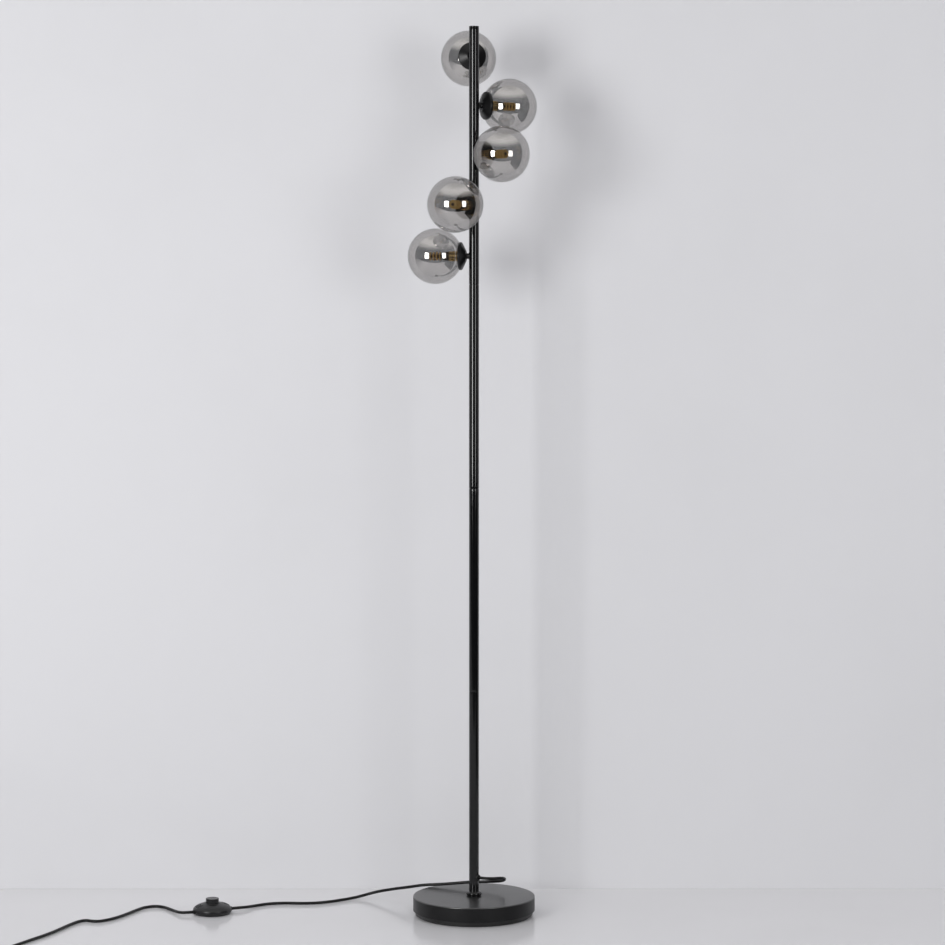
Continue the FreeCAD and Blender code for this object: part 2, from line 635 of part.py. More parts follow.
def build_globe(name):
    """Blown glass globe with a short neck that screws on the cup's seat."""
    outside = fuse(name + "_outside", sphere(name + "_ball", "dims.globe_radius"),
                   cylinder(name + "_neck", "dims.globe_neck_radius", GLOBE_NECK_END, "dims.globe_reach"))
    inside = fuse(name + "_inside", sphere(name + "_hollow", "dims.globe_radius - dims.globe_wall"),
                  cylinder(name + "_bore", GLOBE_SEAT_BORE, GLOBE_NECK_END, "dims.globe_reach"))
    return cut(name, outside, inside)


def build_arms():
    """Five arms, from the lowest up, each with its cup, holder, bulb and globe."""
    nuts = []
    for index, placement in enumerate(arm_placements(), start=1):
        pieces = {
            "arm_neck_%d" % index: build_neck,
            "globe_cup_%d" % index: build_cup,
            "lamp_holder_%d" % index: build_holder,
            "bulb_%d" % index: build_bulb,
            "glass_globe_%d" % index: build_globe,
        }
        for name, build in pieces.items():
            piece = build(name)
            piece.Placement = placement
            keep(piece, name)
        nut = hexagon_nut("cup_locknut_%d" % index, "dims.locknut_across_flats",
                          "dims.neck_thread_radius", CUP_FLOOR, HOLDER_BACK)
        nut.Placement = placement
        nuts.append(nut)
    keep(group("cup_locknuts", *nuts), "cup_locknuts")


# ---------------------------------------------------------------------------
# Foot switch: its own frame has X along the lead, on the floor
# ---------------------------------------------------------------------------
def along_x(name, radius, start, end, height):
    """Cylinder along X at a height above the floor."""
    rod = doc.addObject("Part::Cylinder", name)
    bind(rod, Radius=radius, Height="(%s) - (%s)" % (end, start))
    first = Vector(value_of(start), 0, value_of(height))
    rod.Placement = Placement(first, Rotation(Vector(0, 1, 0), 90))
    return rod


def half_ellipsoid(name, radius, height):
    """Upper half of a flattened ball on the switch's seam."""
    dome = doc.addObject("Part::Ellipsoid", name)
    bind(dome, Radius1=height, Radius2=radius, Radius3=radius)
    dome.Angle1 = 0
    dome.Angle2 = 90
    return bind(dome, Placement__Base__z="dims.switch_seam_height")


def lead_passage(name, radius):
    """Cylinder along the lead, right through the switch."""
    return along_x(name, radius, "-dims.switch_gland_reach", "dims.switch_gland_reach",
                   "dims.switch_entry_height")


def build_switch():
    """Shells, button, spring, contact block, glands and screws."""
    place = Placement(Vector(size("switch_x"), size("switch_y"), 0),
                      Rotation(Vector(0, 0, 1), size("switch_turn")))
    screw_sides = (("front", "-dims.switch_screw_reach"), ("back", "dims.switch_screw_reach"))
    inner_radius = "dims.switch_radius - dims.switch_wall"
    head_top = "(dims.switch_screw_recess + dims.switch_screw_head_height)"
    screw_top = "(%s + dims.switch_screw_length)" % head_top
    boss_top = "(%s + dims.switch_wall)" % head_top

    shell = turned("switch_lower_shell", [
        ("0", "0"),
        ("dims.switch_bottom_radius", "0"),
        ("dims.switch_radius", "dims.switch_belly_height"),
        ("dims.switch_radius", "dims.switch_seam_height"),
        (inner_radius, "dims.switch_seam_height"),
        (inner_radius, "dims.switch_belly_height"),
        ("dims.switch_bottom_radius - dims.switch_wall", "dims.switch_wall"),
        ("0", "dims.switch_wall"),
    ])
    bosses = [cylinder("switch_boss_" + side, "dims.switch_post_radius", "0", boss_top, "0", reach)
              for side, reach in screw_sides]
    screw_ways = [cylinder("switch_way_" + side, "dims.switch_screw_radius", "0", boss_top, "0", reach)
                  for side, reach in screw_sides]
    head_ways = [cylinder("switch_head_way_" + side, "dims.switch_screw_head_radius", "0", head_top,
                          "0", reach)
                 for side, reach in screw_sides]
    base = cut("switch_base", fuse("switch_base_shell", shell, *bosses), *screw_ways, *head_ways,
               lead_passage("switch_base_passage", "dims.switch_gland_radius"))

    envelope = fuse("switch_envelope",
                    half_ellipsoid("switch_envelope_dome", "dims.switch_radius", "dims.switch_dome_height"),
                    cylinder("switch_envelope_foot", inner_radius, boss_top, "dims.switch_seam_height"))
    posts = [common("switch_post_" + side,
                    cylinder("switch_post_rod_" + side, "dims.switch_post_radius", boss_top,
                             "dims.switch_seam_height + dims.switch_dome_height", "0", reach),
                    envelope)
             for side, reach in screw_sides]
    dome = cut("switch_dome",
               half_ellipsoid("switch_dome_outside", "dims.switch_radius", "dims.switch_dome_height"),
               half_ellipsoid("switch_dome_inside", inner_radius,
                              "dims.switch_dome_height - dims.switch_wall"))
    post_bores = [cylinder("switch_post_bore_" + side, "dims.switch_screw_radius", boss_top, screw_top,
                           "0", reach)
                  for side, reach in screw_sides]
    cover = cut("switch_cover", fuse("switch_cover_shell", dome, *posts), *post_bores,
                cylinder("switch_button_hole", "dims.button_radius + dims.button_clearance", "0",
                         "dims.button_top_height"),
                lead_passage("switch_cover_passage", "dims.switch_gland_radius"))

    button = turned("switch_button", [
        ("0", "dims.button_top_height - dims.button_wall"),
        ("dims.button_radius - dims.button_wall", "dims.button_top_height - dims.button_wall"),
        ("dims.button_radius - dims.button_wall", BUTTON_FLANGE),
        ("dims.button_flange_radius", BUTTON_FLANGE),
        ("dims.button_flange_radius", BUTTON_FLANGE_TOP),
        ("dims.button_radius", BUTTON_FLANGE_TOP),
        ("dims.button_radius", "dims.button_top_height - dims.button_edge_round"),
        ("dims.button_radius - dims.button_edge_round", "dims.button_top_height"),
        ("0", "dims.button_top_height"),
    ])

    block = doc.addObject("Part::Box", "switch_contacts")
    bind(block, Length="dims.contact_block_length", Width="dims.contact_block_width",
         Height="dims.contact_block_height")
    corner = Vector(-size("contact_block_length") / 2, -size("contact_block_width") / 2,
                    size("switch_wall"))
    glands = [cut("switch_gland_" + side,
                  along_x("switch_gland_body_" + side, "dims.switch_gland_radius", start, end,
                          "dims.switch_entry_height"),
                  lead_passage("switch_gland_bore_" + side, "dims.cord_radius"))
              for side, start, end in (
                  ("right", "dims.switch_gland_inner_reach", "dims.switch_gland_reach"),
                  ("left", "-dims.switch_gland_reach", "-dims.switch_gland_inner_reach"))]
    screws = [fuse("switch_screw_" + side,
                   cylinder("switch_screw_head_" + side, "dims.switch_screw_head_radius",
                            "dims.switch_screw_recess", head_top, "0", reach),
                   cylinder("switch_screw_shank_" + side, "dims.switch_screw_radius", head_top,
                            screw_top, "0", reach))
              for side, reach in screw_sides]

    pieces = (("switch_base", base), ("switch_cover", cover), ("switch_button", button),
              ("switch_glands", group("switch_glands", *glands)),
              ("switch_screws", group("switch_screws", *screws)))
    for name, piece in pieces:
        piece.Placement = place
        keep(piece, name)
    block.Placement = place.multiply(Placement(corner, Rotation()))
    keep(block, "switch_contacts")

    spring = doc.addObject("Part::Feature", "switch_spring")
    spring.Shape = spring_shape()
    spring.Placement = place
    keep(spring, "switch_spring")


# ---------------------------------------------------------------------------
# Wound and laid tubes
# ---------------------------------------------------------------------------
def biarc(start, start_way, end, end_way):
    """Two tangent arcs between two points with given directions."""
    reach = end - start
    ways = start_way + end_way
    turn = 2 * (1 - start_way.dot(end_way))
    along = reach.dot(ways)
    if abs(turn) < 1e-12:
        arm = reach.dot(reach) / (2 * along)
    else:
        arm = (math.sqrt(along ** 2 + turn * reach.dot(reach)) - along) / turn
    first_corner = start + start_way * arm
    second_corner = end - end_way * arm
    middle = (first_corner + second_corner) * 0.5
    return [tangent_arc(start, first_corner, middle), tangent_arc(middle, second_corner, end)]


def tangent_arc(start, corner, end):
    """Arc that touches the two lines of a corner at equally distant points."""
    chord_middle = (start + end) * 0.5
    rise = corner - chord_middle
    half_chord = (end - start).Length / 2
    if rise.Length < 1e-9 * half_chord:
        return Part.LineSegment(start, end).toShape()
    slope = math.atan2(rise.Length, half_chord)
    top = chord_middle + rise.normalize() * (half_chord * math.tan(slope / 2))
    return Part.Arc(start, top, end).toShape()


def swept(edges, radius):
    """Round tube along a path of tangent edges."""
    path = Part.Wire(edges)
    first = edges[0]
    start = first.valueAt(first.FirstParameter)
    way = first.tangentAt(first.FirstParameter)
    section = Part.Wire([Part.Circle(start, way, radius).toShape()])
    return path.makePipeShell([section], True, False), path.Length


def self_gap(points, radius, skip):
    """Least gap of a wound tube to itself, measured on points of its middle line."""
    least = float("inf")
    for index, point in enumerate(points):
        for other in points[index + skip:]:
            least = min(least, point.distanceToPoint(other))
    return least - 2 * radius


def spring_shape():
    """Button's spring: a helix between the contact block and the button."""
    radius = size("spring_coil_radius")
    wire = size("spring_wire_radius")
    bottom = value_of(CONTACT_TOP) + wire
    top = size("button_top_height") - size("button_wall") - wire
    quarters = int(round(4 * size("spring_turns")))
    rise = (top - bottom) / quarters

    def place(quarter):
        """Point on the helix after this many quarter turns."""
        angle = quarter * math.pi / 2
        return Vector(radius * math.cos(angle), radius * math.sin(angle), bottom + rise * quarter)

    def way(quarter):
        """Direction of the helix there."""
        angle = quarter * math.pi / 2
        return Vector(-math.sin(angle), math.cos(angle), rise / (radius * math.pi / 2)).normalize()

    edges = []
    for quarter in range(quarters):
        edges += biarc(place(quarter), way(quarter), place(quarter + 1), way(quarter + 1))
    shape, length = swept(edges, wire)
    fine = [place(step / 8) for step in range(8 * quarters + 1)]
    print("spring: wire %.1f mm, gap between turns %.2f mm" % (length, self_gap(fine, wire, 20)))
    return shape


CORNER_SHARE = 0.45
# Lead's corners, hand-chosen. Those where it runs straight into the grommet, the
# switch and the coil are worked out in build_lead from what it enters.
POLE_ROUTE = [
    (34.6, -12.8, 68.6), (49.6, -3.8, 68.0), (57.0, 12.0, 63.6), (54.8, 30.6, 56.4),
    (43.6, 44.6, 51.8), (21.0, 53.0, 49.4), (-8.0, 59.0, 47.6), (-37.0, 66.5, 43.6),
    (-65.0, 72.0, 40.4), (-94.0, 78.0, 38.2), (-121.0, 92.0, 31.2), (-151.0, 114.0, 23.0),
    (-185.0, 136.0, 12.8), (-217.0, 135.0, 3.4), (-248.0, 110.0, 2.8), (-281.0, 88.0, 2.8),
    (-316.0, 80.5, 2.8), (-350.0, 85.5, 2.8), (-380.0, 79.0, 2.8), (-402.0, 63.0, 2.8),
    (-415.0, 46.0, 4.0),
]
# From the foot switch to the put-away coil
FLOOR_ROUTE = [
    (-539.0, -2.5, 4.4), (-549.0, 15.5, 3.2), (-559.5, 32.5, 2.8), (-569.5, 46.5, 2.8),
    (-580.0, 54.5, 2.8), (-590.5, 56.5, 2.8), (-601.0, 51.5, 2.8), (-611.5, 40.0, 2.8),
    (-621.0, 18.6, 2.8), (-632.0, -7.7, 2.8), (-645.0, -36.0, 2.8), (-660.0, -57.5, 2.8),
    (-675.5, -70.5, 2.8), (-688.0, -69.0, 2.8), (-698.5, -61.5, 2.8), (-709.0, -66.5, 2.8),
    (-719.0, -85.0, 2.8), (-731.0, -117.0, 2.8), (-743.0, -153.0, 2.8), (-757.0, -185.0, 2.8),
    (-776.0, -221.4, 2.8), (-793.0, -256.0, 2.8), (-811.3, -292.1, 2.8), (-828.5, -316.7, 2.8),
]
# From the coil to the plug
PLUG_ROUTE = [
    (-861.4, -348.8, 8.2), (-883.3, -350.7, 7.4), (-904.0, -343.2, 6.9),
    (-919.6, -327.6, 6.9), (-927.0, -307.0, 6.9),
]


def laid_tube(name, route):
    """Lead along straight runs joined by tangent arcs."""
    points = [Vector(*point) for point in route]
    edges = []
    radii = []
    last = points[0]
    for before, corner, after in zip(points, points[1:], points[2:]):
        backward = (before - corner)
        forward = (after - corner)
        cut_back = CORNER_SHARE * min(backward.Length, forward.Length)
        half_turn = (math.pi - backward.getAngle(forward)) / 2
        radii.append(cut_back / math.tan(half_turn))
        start = corner + backward.normalize() * cut_back
        end = corner + forward.normalize() * cut_back
        edges.append(Part.LineSegment(last, start).toShape())
        edges.append(tangent_arc(start, corner, end))
        last = end
    edges.append(Part.LineSegment(last, points[-1]).toShape())
    radius = size("cord_radius")
    shape, length = swept(edges, radius)
    expected = math.pi * radius ** 2 * length
    print("%s: length %.1f mm, volume off by %.3f %%, radii %s" % (
        name, length, 100 * (shape.Volume / expected - 1), " ".join("%.0f" % bend for bend in radii)))
    tube = doc.addObject("Part::Feature", name)
    tube.Shape = shape
    return keep(tube, name)


def coil_path(start, way):
    """Two-layer spiral, in and out again, wound to the right: edges, points and end."""
    straight = 2 * size("cord_radius")
    pitch = straight + size("coil_gap")
    outer = size("coil_outer_radius")
    quarters = int(round(4 * size("coil_layer_turns")))
    across = Vector(way.y, -way.x, 0)
    entry = start + way * straight
    centre = entry + across * outer
    first_angle = math.atan2(-across.y, -across.x)
    total = 2 * quarters + 2

    def state(step):
        """Radius and rise of the spiral after this many quarter turns."""
        radius = outer - pitch / 4 * min(step, total - step)
        climbed = min(max(step - quarters, 0.0), 2.0) / 2
        return radius, pitch * (1 - math.cos(math.pi * climbed)) / 2

    def place(step):
        """Point on the coil after this many quarter turns."""
        radius, rise = state(step)
        angle = first_angle - step * math.pi / 2
        return centre + Vector(radius * math.cos(angle), radius * math.sin(angle), rise)

    def heading(step):
        """Direction of the coil there, square to its straight ends at both ends."""
        if step <= 0 or step >= total:
            return way
        return (place(step + 0.01) - place(step - 0.01)).normalize()

    edges = [Part.LineSegment(start, entry).toShape()]
    for step in range(total):
        edges += biarc(place(step), heading(step), place(step + 1), heading(step + 1))
    end = place(total) + way * straight
    edges.append(Part.LineSegment(place(total), end).toShape())
    fine = [place(index / 8) for index in range(8 * total + 1)]
    return edges, fine, end


def plug_in_place(end, way):
    """Plug with its relief, and its two pins, on the lead's far end."""
    place = Placement(end, Rotation(way, Vector(-way.y, way.x, 0), Vector(0, 0, 1), "ZXY"))
    body = doc.addObject("PartDesign::Body", "plug_moulding")
    sketch = body.newObject("Sketcher::SketchObject", "plug_outline")
    sketch.AttachmentSupport = (origin_plane(body, "XY_Plane"), [""])
    sketch.MapMode = "FlatFace"
    front = "dims.relief_length + dims.plug_length"
    shoulder = "dims.relief_length + dims.plug_length / 2"
    outline_sketch(sketch, [
        ("dims.relief_length", "-dims.plug_tail_width / 2"),
        (shoulder, "-dims.plug_width / 2"),
        (front, "-dims.plug_width / 2"),
        (front, "dims.plug_width / 2"),
        (shoulder, "dims.plug_width / 2"),
        ("dims.relief_length", "dims.plug_tail_width / 2"),
    ])
    pad = body.newObject("PartDesign::Pad", "plug_pad")
    pad.Profile = sketch
    bind(pad, Length="dims.plug_thickness")
    pad.Midplane = True
    doc.recompute()
    fillet = body.newObject("PartDesign::Fillet", "plug_rounds")
    fillet.Base = (pad, ["Edge%d" % number for number, edge in enumerate(pad.Shape.Edges, start=1)
                         if abs(edge.tangentAt(edge.FirstParameter).z) < 0.5
                         and abs(edge.tangentAt(edge.FirstParameter).x) > 0.5])
    bind(fillet, Radius="dims.plug_corner_round")
    body.Tip = fillet

    relief = doc.addObject("Part::Cone", "plug_relief")
    bind(relief, Radius1="dims.relief_tip_radius", Radius2="dims.relief_base_radius",
         Height="dims.relief_length")
    relief.Placement = Placement(Vector(0, 0, 0), Rotation(Vector(0, 1, 0), 90))
    plug = fuse("plug_body", body, relief)
    pins = [along_x("plug_pin_" + side, "dims.plug_pin_radius", front,
                    front + " + dims.plug_pin_length", "0")
            for side in ("left", "right")]
    for pin, sign in zip(pins, ("", "-")):
        pin.setExpression("Placement.Base.y", sign + "dims.plug_pin_pitch / 2")
    for name, piece in (("plug_body", plug), ("plug_pins", group("plug_pins", *pins))):
        piece.Placement = place
        keep(piece, name)


def build_lead():
    """Lead from the clamp in the pole, through the foot switch, to the coil and the plug."""
    exit_frame = radial_placement(size("exit_azimuth"), size("exit_height"))
    clamp_face, exit_corner = [exit_frame.multVec(Vector(0, 0, size(reach)))
                               for reach in ("clamp_half_width", "exit_corner_reach")]
    turn = math.radians(size("switch_turn"))
    lead_way = Vector(math.cos(turn), math.sin(turn), 0)
    middle = Vector(size("switch_x"), size("switch_y"), size("switch_entry_height"))
    terminal = lead_way * (size("contact_block_length") / 2)
    corner = lead_way * size("switch_corner_reach")
    laid_tube("cord_pole_run", [clamp_face, exit_corner, *POLE_ROUTE, middle + corner, middle + terminal])
    laid_tube("cord_floor_run", [middle - terminal, middle - corner, *FLOOR_ROUTE])

    coil_start = Vector(*FLOOR_ROUTE[-1])
    coil_way = (coil_start - Vector(*FLOOR_ROUTE[-2])).normalize()
    edges, fine, coil_end = coil_path(coil_start, coil_way)
    shape, length = swept(edges, size("cord_radius"))
    print("cord_coil: length %.1f mm, least gap %.2f mm" % (
        length, self_gap(fine, size("cord_radius"), 12)))
    coil = doc.addObject("Part::Feature", "cord_coil")
    coil.Shape = shape
    keep(coil, "cord_coil")

    laid_tube("cord_plug_run", [coil_end, coil_end + coil_way * size("coil_corner_reach"), *PLUG_ROUTE])
    end = Vector(*PLUG_ROUTE[-1])
    plug_in_place(end, (end - Vector(*PLUG_ROUTE[-2])).normalize())


# ---------------------------------------------------------------------------
# Build, check and write
# ---------------------------------------------------------------------------
build_base()
build_pole()
build_exit_and_wiring()
build_arms()
build_switch()
build_lead()
doc.recompute()

for item in doc.Objects:
    if "Invalid" in item.State or "Error" in item.State:
        raise RuntimeError("%s did not build: %s" % (item.Label, item.State))
os.makedirs("parts", exist_ok=True)
for node in nodes:
    if node.Shape.isNull() or not node.Shape.isValid() or not node.Shape.Solids:
        raise RuntimeError("%s has no valid solid" % node.Label)
    node.Shape.exportStep("parts/%s.step" % node.Label)
print("%d nodes" % len(nodes))
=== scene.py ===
import logging
import math
from dataclasses import dataclass
from enum import Enum
from typing import Optional, Sequence, Union

import bmesh
import bpy
from mathutils import Matrix, Vector


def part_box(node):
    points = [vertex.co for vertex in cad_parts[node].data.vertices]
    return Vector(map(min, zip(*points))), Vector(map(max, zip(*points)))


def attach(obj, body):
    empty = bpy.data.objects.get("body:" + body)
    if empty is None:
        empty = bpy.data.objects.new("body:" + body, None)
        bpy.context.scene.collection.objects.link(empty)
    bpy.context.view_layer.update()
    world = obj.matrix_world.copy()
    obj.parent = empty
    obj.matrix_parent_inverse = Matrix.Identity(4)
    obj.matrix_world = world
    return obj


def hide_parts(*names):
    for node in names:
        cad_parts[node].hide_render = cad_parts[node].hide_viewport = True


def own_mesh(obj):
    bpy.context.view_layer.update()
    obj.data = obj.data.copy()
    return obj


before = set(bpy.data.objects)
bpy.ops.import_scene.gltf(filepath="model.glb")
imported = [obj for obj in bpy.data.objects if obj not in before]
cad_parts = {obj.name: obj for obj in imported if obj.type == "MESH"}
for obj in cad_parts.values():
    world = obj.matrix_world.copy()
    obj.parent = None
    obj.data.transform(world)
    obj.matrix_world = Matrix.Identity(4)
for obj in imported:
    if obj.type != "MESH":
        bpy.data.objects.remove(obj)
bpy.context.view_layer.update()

LOG = logging.getLogger("floor_lamp")

LAMP = "lamp"
FOOT_BUTTON = "foot_button"

# Roundings and small steps that many edges share; points nearer than WELD are one.
HAIR, FINE, SMALL, SOFT, EASY, BROAD = 0.0002, 0.0003, 0.0004, 0.0005, 0.0006, 0.0008
WELD = 1e-6
ON_AXIS = 1e-7

# Sizes that neighbouring pieces share.
BASE_TOP = 0.0355
POLE_RADIUS = 0.009
LEAD_RADIUS = 0.00275

Triple = tuple[float, float, float]
Corner = tuple[float, ...]
Value = Union["Wire", float, Sequence[float]]


class Slot(Enum):
    """Material slots of the record."""

    METAL = "satin_black_metal"
    PLASTIC = "black_plastic"
    RUBBER = "black_rubber"
    CERAMIC = "ceramic"
    ENVELOPE = "bulb_envelope"
    GLASS = "smoked_glass"
    STEEL = "zinc_steel"
    SHEATH = "cord_sheath"
    NICKEL = "nickel_plate"


# --- Shader building ---
class Wire:
    """A node's output that Python sums and products turn into Math nodes."""

    def __init__(self, tree: "ShaderTree", socket: bpy.types.NodeSocket) -> None:
        """Keep the socket and the tree that grows with each sum."""
        self.tree = tree
        self.socket = socket

    def math(self, operation: str, *values: Value) -> "Wire":
        """Output of one Math node, with its inputs in order."""
        return self.tree.node("ShaderNodeMath", {"operation": operation}, dict(enumerate(values)))

    def __add__(self, other: Value) -> "Wire":
        """Sum."""
        return self.math("ADD", self, other)

    def __radd__(self, other: Value) -> "Wire":
        """Sum, reflected."""
        return self.math("ADD", other, self)

    def __sub__(self, other: Value) -> "Wire":
        """Difference."""
        return self.math("SUBTRACT", self, other)

    def __rsub__(self, other: Value) -> "Wire":
        """Difference, reflected."""
        return self.math("SUBTRACT", other, self)

    def __mul__(self, other: Value) -> "Wire":
        """Product."""
        return self.math("MULTIPLY", self, other)

    def __rmul__(self, other: Value) -> "Wire":
        """Product, reflected."""
        return self.math("MULTIPLY", other, self)

    def band(self, low: float, high: float) -> "Wire":
        """Smooth step from 0 at low to 1 at high."""
        return self.tree.node("ShaderNodeMapRange", {"interpolation_type": "SMOOTHSTEP"},
                              {"Value": self, "From Min": low, "From Max": high}, "Result")


class ShaderTree:
    """Node tree of a material or of the world."""

    def __init__(self, tree: bpy.types.NodeTree) -> None:
        """Empty the tree."""
        self.tree = tree
        self.tree.nodes.clear()

    def node(self, kind: str, settings: Optional[dict[str, str]] = None,
             values: Optional[dict[Union[str, int], Value]] = None,
             output: Union[str, int] = 0) -> Wire:
        """Make one node.

        Args:
            kind: the node's type.
            settings: its properties, set first.
            values: numbers, colours or wires for its inputs.
            output: which output to hand back.

        Returns:
            The chosen output.
        """
        made = self.tree.nodes.new(kind)
        for name, value in (settings or {}).items():
            setattr(made, name, value)
        for key, value in (values or {}).items():
            if isinstance(value, Wire):
                self.tree.links.new(value.socket, made.inputs[key])
            else:
                made.inputs[key].default_value = value
        return Wire(self, made.outputs[output] if len(made.outputs) else None)

    def place(self) -> Wire:
        """Place on the piece, in metres in the lamp's frame."""
        return self.node("ShaderNodeTexCoord", output="Object")

    def axis(self, name: str, vector: Wire) -> Wire:
        """One coordinate of a vector."""
        return self.node("ShaderNodeSeparateXYZ", values={0: vector}, output=name)

    def stretched(self, scale: Triple) -> Wire:
        """Place on the piece, stretched along the axes."""
        return self.node("ShaderNodeMapping", values={"Vector": self.place(), "Scale": scale})

    def noise(self, scale: float, detail: float = 2.0, roughness: float = 0.5,
              vector: Optional[Wire] = None) -> Wire:
        """Soft noise about 0.5.

        Args:
            scale: features a metre.
            detail: octaves.
            roughness: weight of the finer octaves.
            vector: where it is read, if not at the place on the piece.

        Returns:
            The noise.
        """
        return self.node("ShaderNodeTexNoise", {"noise_dimensions": "3D"},
                         {"Vector": vector or self.place(), "Scale": scale, "Detail": detail,
                          "Roughness": roughness}, "Fac")

    def cells(self, scale: float) -> Wire:
        """Distance to the nearest of scattered points."""
        return self.node("ShaderNodeTexVoronoi", {"feature": "F1"},
                         {"Vector": self.place(), "Scale": scale}, "Distance")

    def blend(self, factor: Value, first: Value, second: Value) -> Wire:
        """Mix of two colours.

        Args:
            factor: share of the second.
            first: colour at 0.
            second: colour at 1.

        Returns:
            The mixed colour.
        """
        pair = [value if isinstance(value, Wire) else (*value, 1.0) for value in (first, second)]
        return self.node("ShaderNodeMix", {"data_type": "RGBA"},
                         {0: factor, 6: pair[0], 7: pair[1]}, 2)

    def bump(self, height: Wire, depth: float) -> Wire:
        """Relief of a given depth in metres."""
        return self.node("ShaderNodeBump", values={"Strength": 1.0, "Distance": depth,
                                                   "Height": height})

    def principled(self, **values: Value) -> Wire:
        """Main shader; underscores in names stand for spaces."""
        named = {name.replace("_", " "): value for name, value in values.items()}
        return self.node("ShaderNodeBsdfPrincipled", values=named)


# --- Finishes ---
@dataclass(frozen=True)
class Finish:
    """A named surface finish; one Blender material."""

    name: str
    colour: Triple

    def shade(self, times: float = 1.0, plus: float = 0.0) -> Triple:
        """Finish's colour, scaled and lifted."""
        return tuple(channel * times + plus for channel in self.colour)

    def surface(self, tree: ShaderTree) -> Wire:
        """Shader of the finish."""
        raise NotImplementedError(self.name)

    def material(self) -> bpy.types.Material:
        """Make the Blender material once; its name keeps it apart from the frame's own.

        Returns:
            The material.
        """
        title = "finish_" + self.name
        found = bpy.data.materials.get(title)
        if found:
            return found
        made = bpy.data.materials.new(title)
        made.use_nodes = True
        tree = ShaderTree(made.node_tree)
        tree.node("ShaderNodeOutputMaterial", values={"Surface": self.surface(tree)})
        return made


@dataclass(frozen=True)
class PowderCoat(Finish):
    """Fine satin powder coat on metal: orange peel, and a little dust lying on it."""

    roughness: float = 0.3
    grain: float = 900.0
    depth: float = 0.000012
    dust: float = 0.006
    gloss: float = 0.5

    def surface(self, tree: ShaderTree) -> Wire:
        """Black coat with fine peel and faint dust.

        Args:
            tree: the material's node tree.

        Returns:
            The shader.
        """
        peel = tree.noise(self.grain, 3.0, 0.6)
        cloud = tree.noise(14.0, 4.0, 0.6)
        dusty = cloud.band(0.45, 0.8) * tree.noise(260.0, 3.0, 0.7).band(0.5, 0.75)
        lighter = self.shade(plus=self.dust)
        return tree.principled(
            Base_Color=tree.blend(dusty, self.colour, lighter),
            Roughness=self.roughness + (cloud - 0.5) * 0.06 + dusty * 0.06,
            Specular_IOR_Level=self.gloss, Normal=tree.bump(peel, self.depth))


@dataclass(frozen=True)
class MouldedPlastic(Finish):
    """Moulded plastic with a fine spark-eroded texture."""

    roughness: float = 0.4
    grain: float = 1500.0
    depth: float = 0.00002

    def surface(self, tree: ShaderTree) -> Wire:
        """Plastic with fine grain and slight handling marks.

        Args:
            tree: the material's node tree.

        Returns:
            The shader.
        """
        grain = tree.cells(self.grain) + tree.noise(self.grain * 0.6, 2.0) * 0.6
        cloud = tree.noise(45.0, 3.0, 0.6)
        lighter = self.shade(1.35, 0.004)
        return tree.principled(
            Base_Color=tree.blend(cloud.band(0.35, 0.8), self.colour, lighter),
            Roughness=self.roughness + (cloud - 0.5) * 0.14,
            Normal=tree.bump(grain, self.depth))


@dataclass(frozen=True)
class LeadSheath(Finish):
    """Extruded soft sheath of the lead, with faint lengthwise unevenness."""

    gloss: float = 0.3

    def surface(self, tree: ShaderTree) -> Wire:
        """Black sheath with a light gloss.

        Args:
            tree: the material's node tree.

        Returns:
            The shader.
        """
        wander = tree.noise(60.0, 3.0, 0.6)
        scuff = tree.noise(420.0, 3.0, 0.7).band(0.55, 0.8)
        lighter = self.shade(plus=0.01)
        return tree.principled(
            Base_Color=tree.blend(scuff * wander, self.colour, lighter),
            Roughness=0.33 + wander * 0.14, Specular_IOR_Level=self.gloss,
            Normal=tree.bump(wander + tree.noise(700.0, 2.0) * 0.3, 0.00008))


@dataclass(frozen=True)
class SmokedGlass(Finish):
    """Half-mirror film on blown glass: warm grey, a little thicker in places."""

    cover: float = 0.48
    rim: Triple = (0.10, 0.095, 0.09)
    grazing: float = 0.6

    def surface(self, tree: ShaderTree) -> Wire:
        """See-through mirror with faint haze and a dark line where the wall is seen edge on.

        Args:
            tree: the material's node tree.

        Returns:
            The shader.
        """
        cloud = tree.noise(18.0, 3.0, 0.55).band(0.3, 0.75)
        haze = tree.noise(70.0, 4.0, 0.65)
        facing = tree.node("ShaderNodeLayerWeight", values={"Blend": 0.5}, output="Facing")
        edge = facing.band(0.80, 0.93)
        darker = self.shade(0.93)
        return tree.principled(
            Base_Color=tree.blend(edge * 0.85, tree.blend(cloud, self.colour, darker), self.rim),
            Metallic=1.0, Roughness=haze.band(0.45, 0.95) * 0.05 + 0.012,
            Specular_Tint=(self.grazing, self.grazing, self.grazing, 1.0),
            Alpha=self.cover + cloud * 0.02 + edge * 0.3,
            Normal=tree.bump(tree.noise(26.0, 1.0), 0.00006))


@dataclass(frozen=True)
class ClearGlass(Finish):
    """Bare inner wall of blown glass, or a bulb's envelope."""

    cover: float = 0.08

    def surface(self, tree: ShaderTree) -> Wire:
        """Thin glass that tints what is behind it.

        Args:
            tree: the material's node tree.

        Returns:
            The shader.
        """
        ripple = tree.noise(40.0, 2.0)
        return tree.principled(
            Base_Color=tree.blend(ripple.band(0.3, 0.7), self.colour,
                                  self.shade(0.8)),
            Roughness=ripple.band(0.4, 0.9) * 0.04 + 0.02, Alpha=self.cover,
            Normal=tree.bump(ripple, 0.00005))


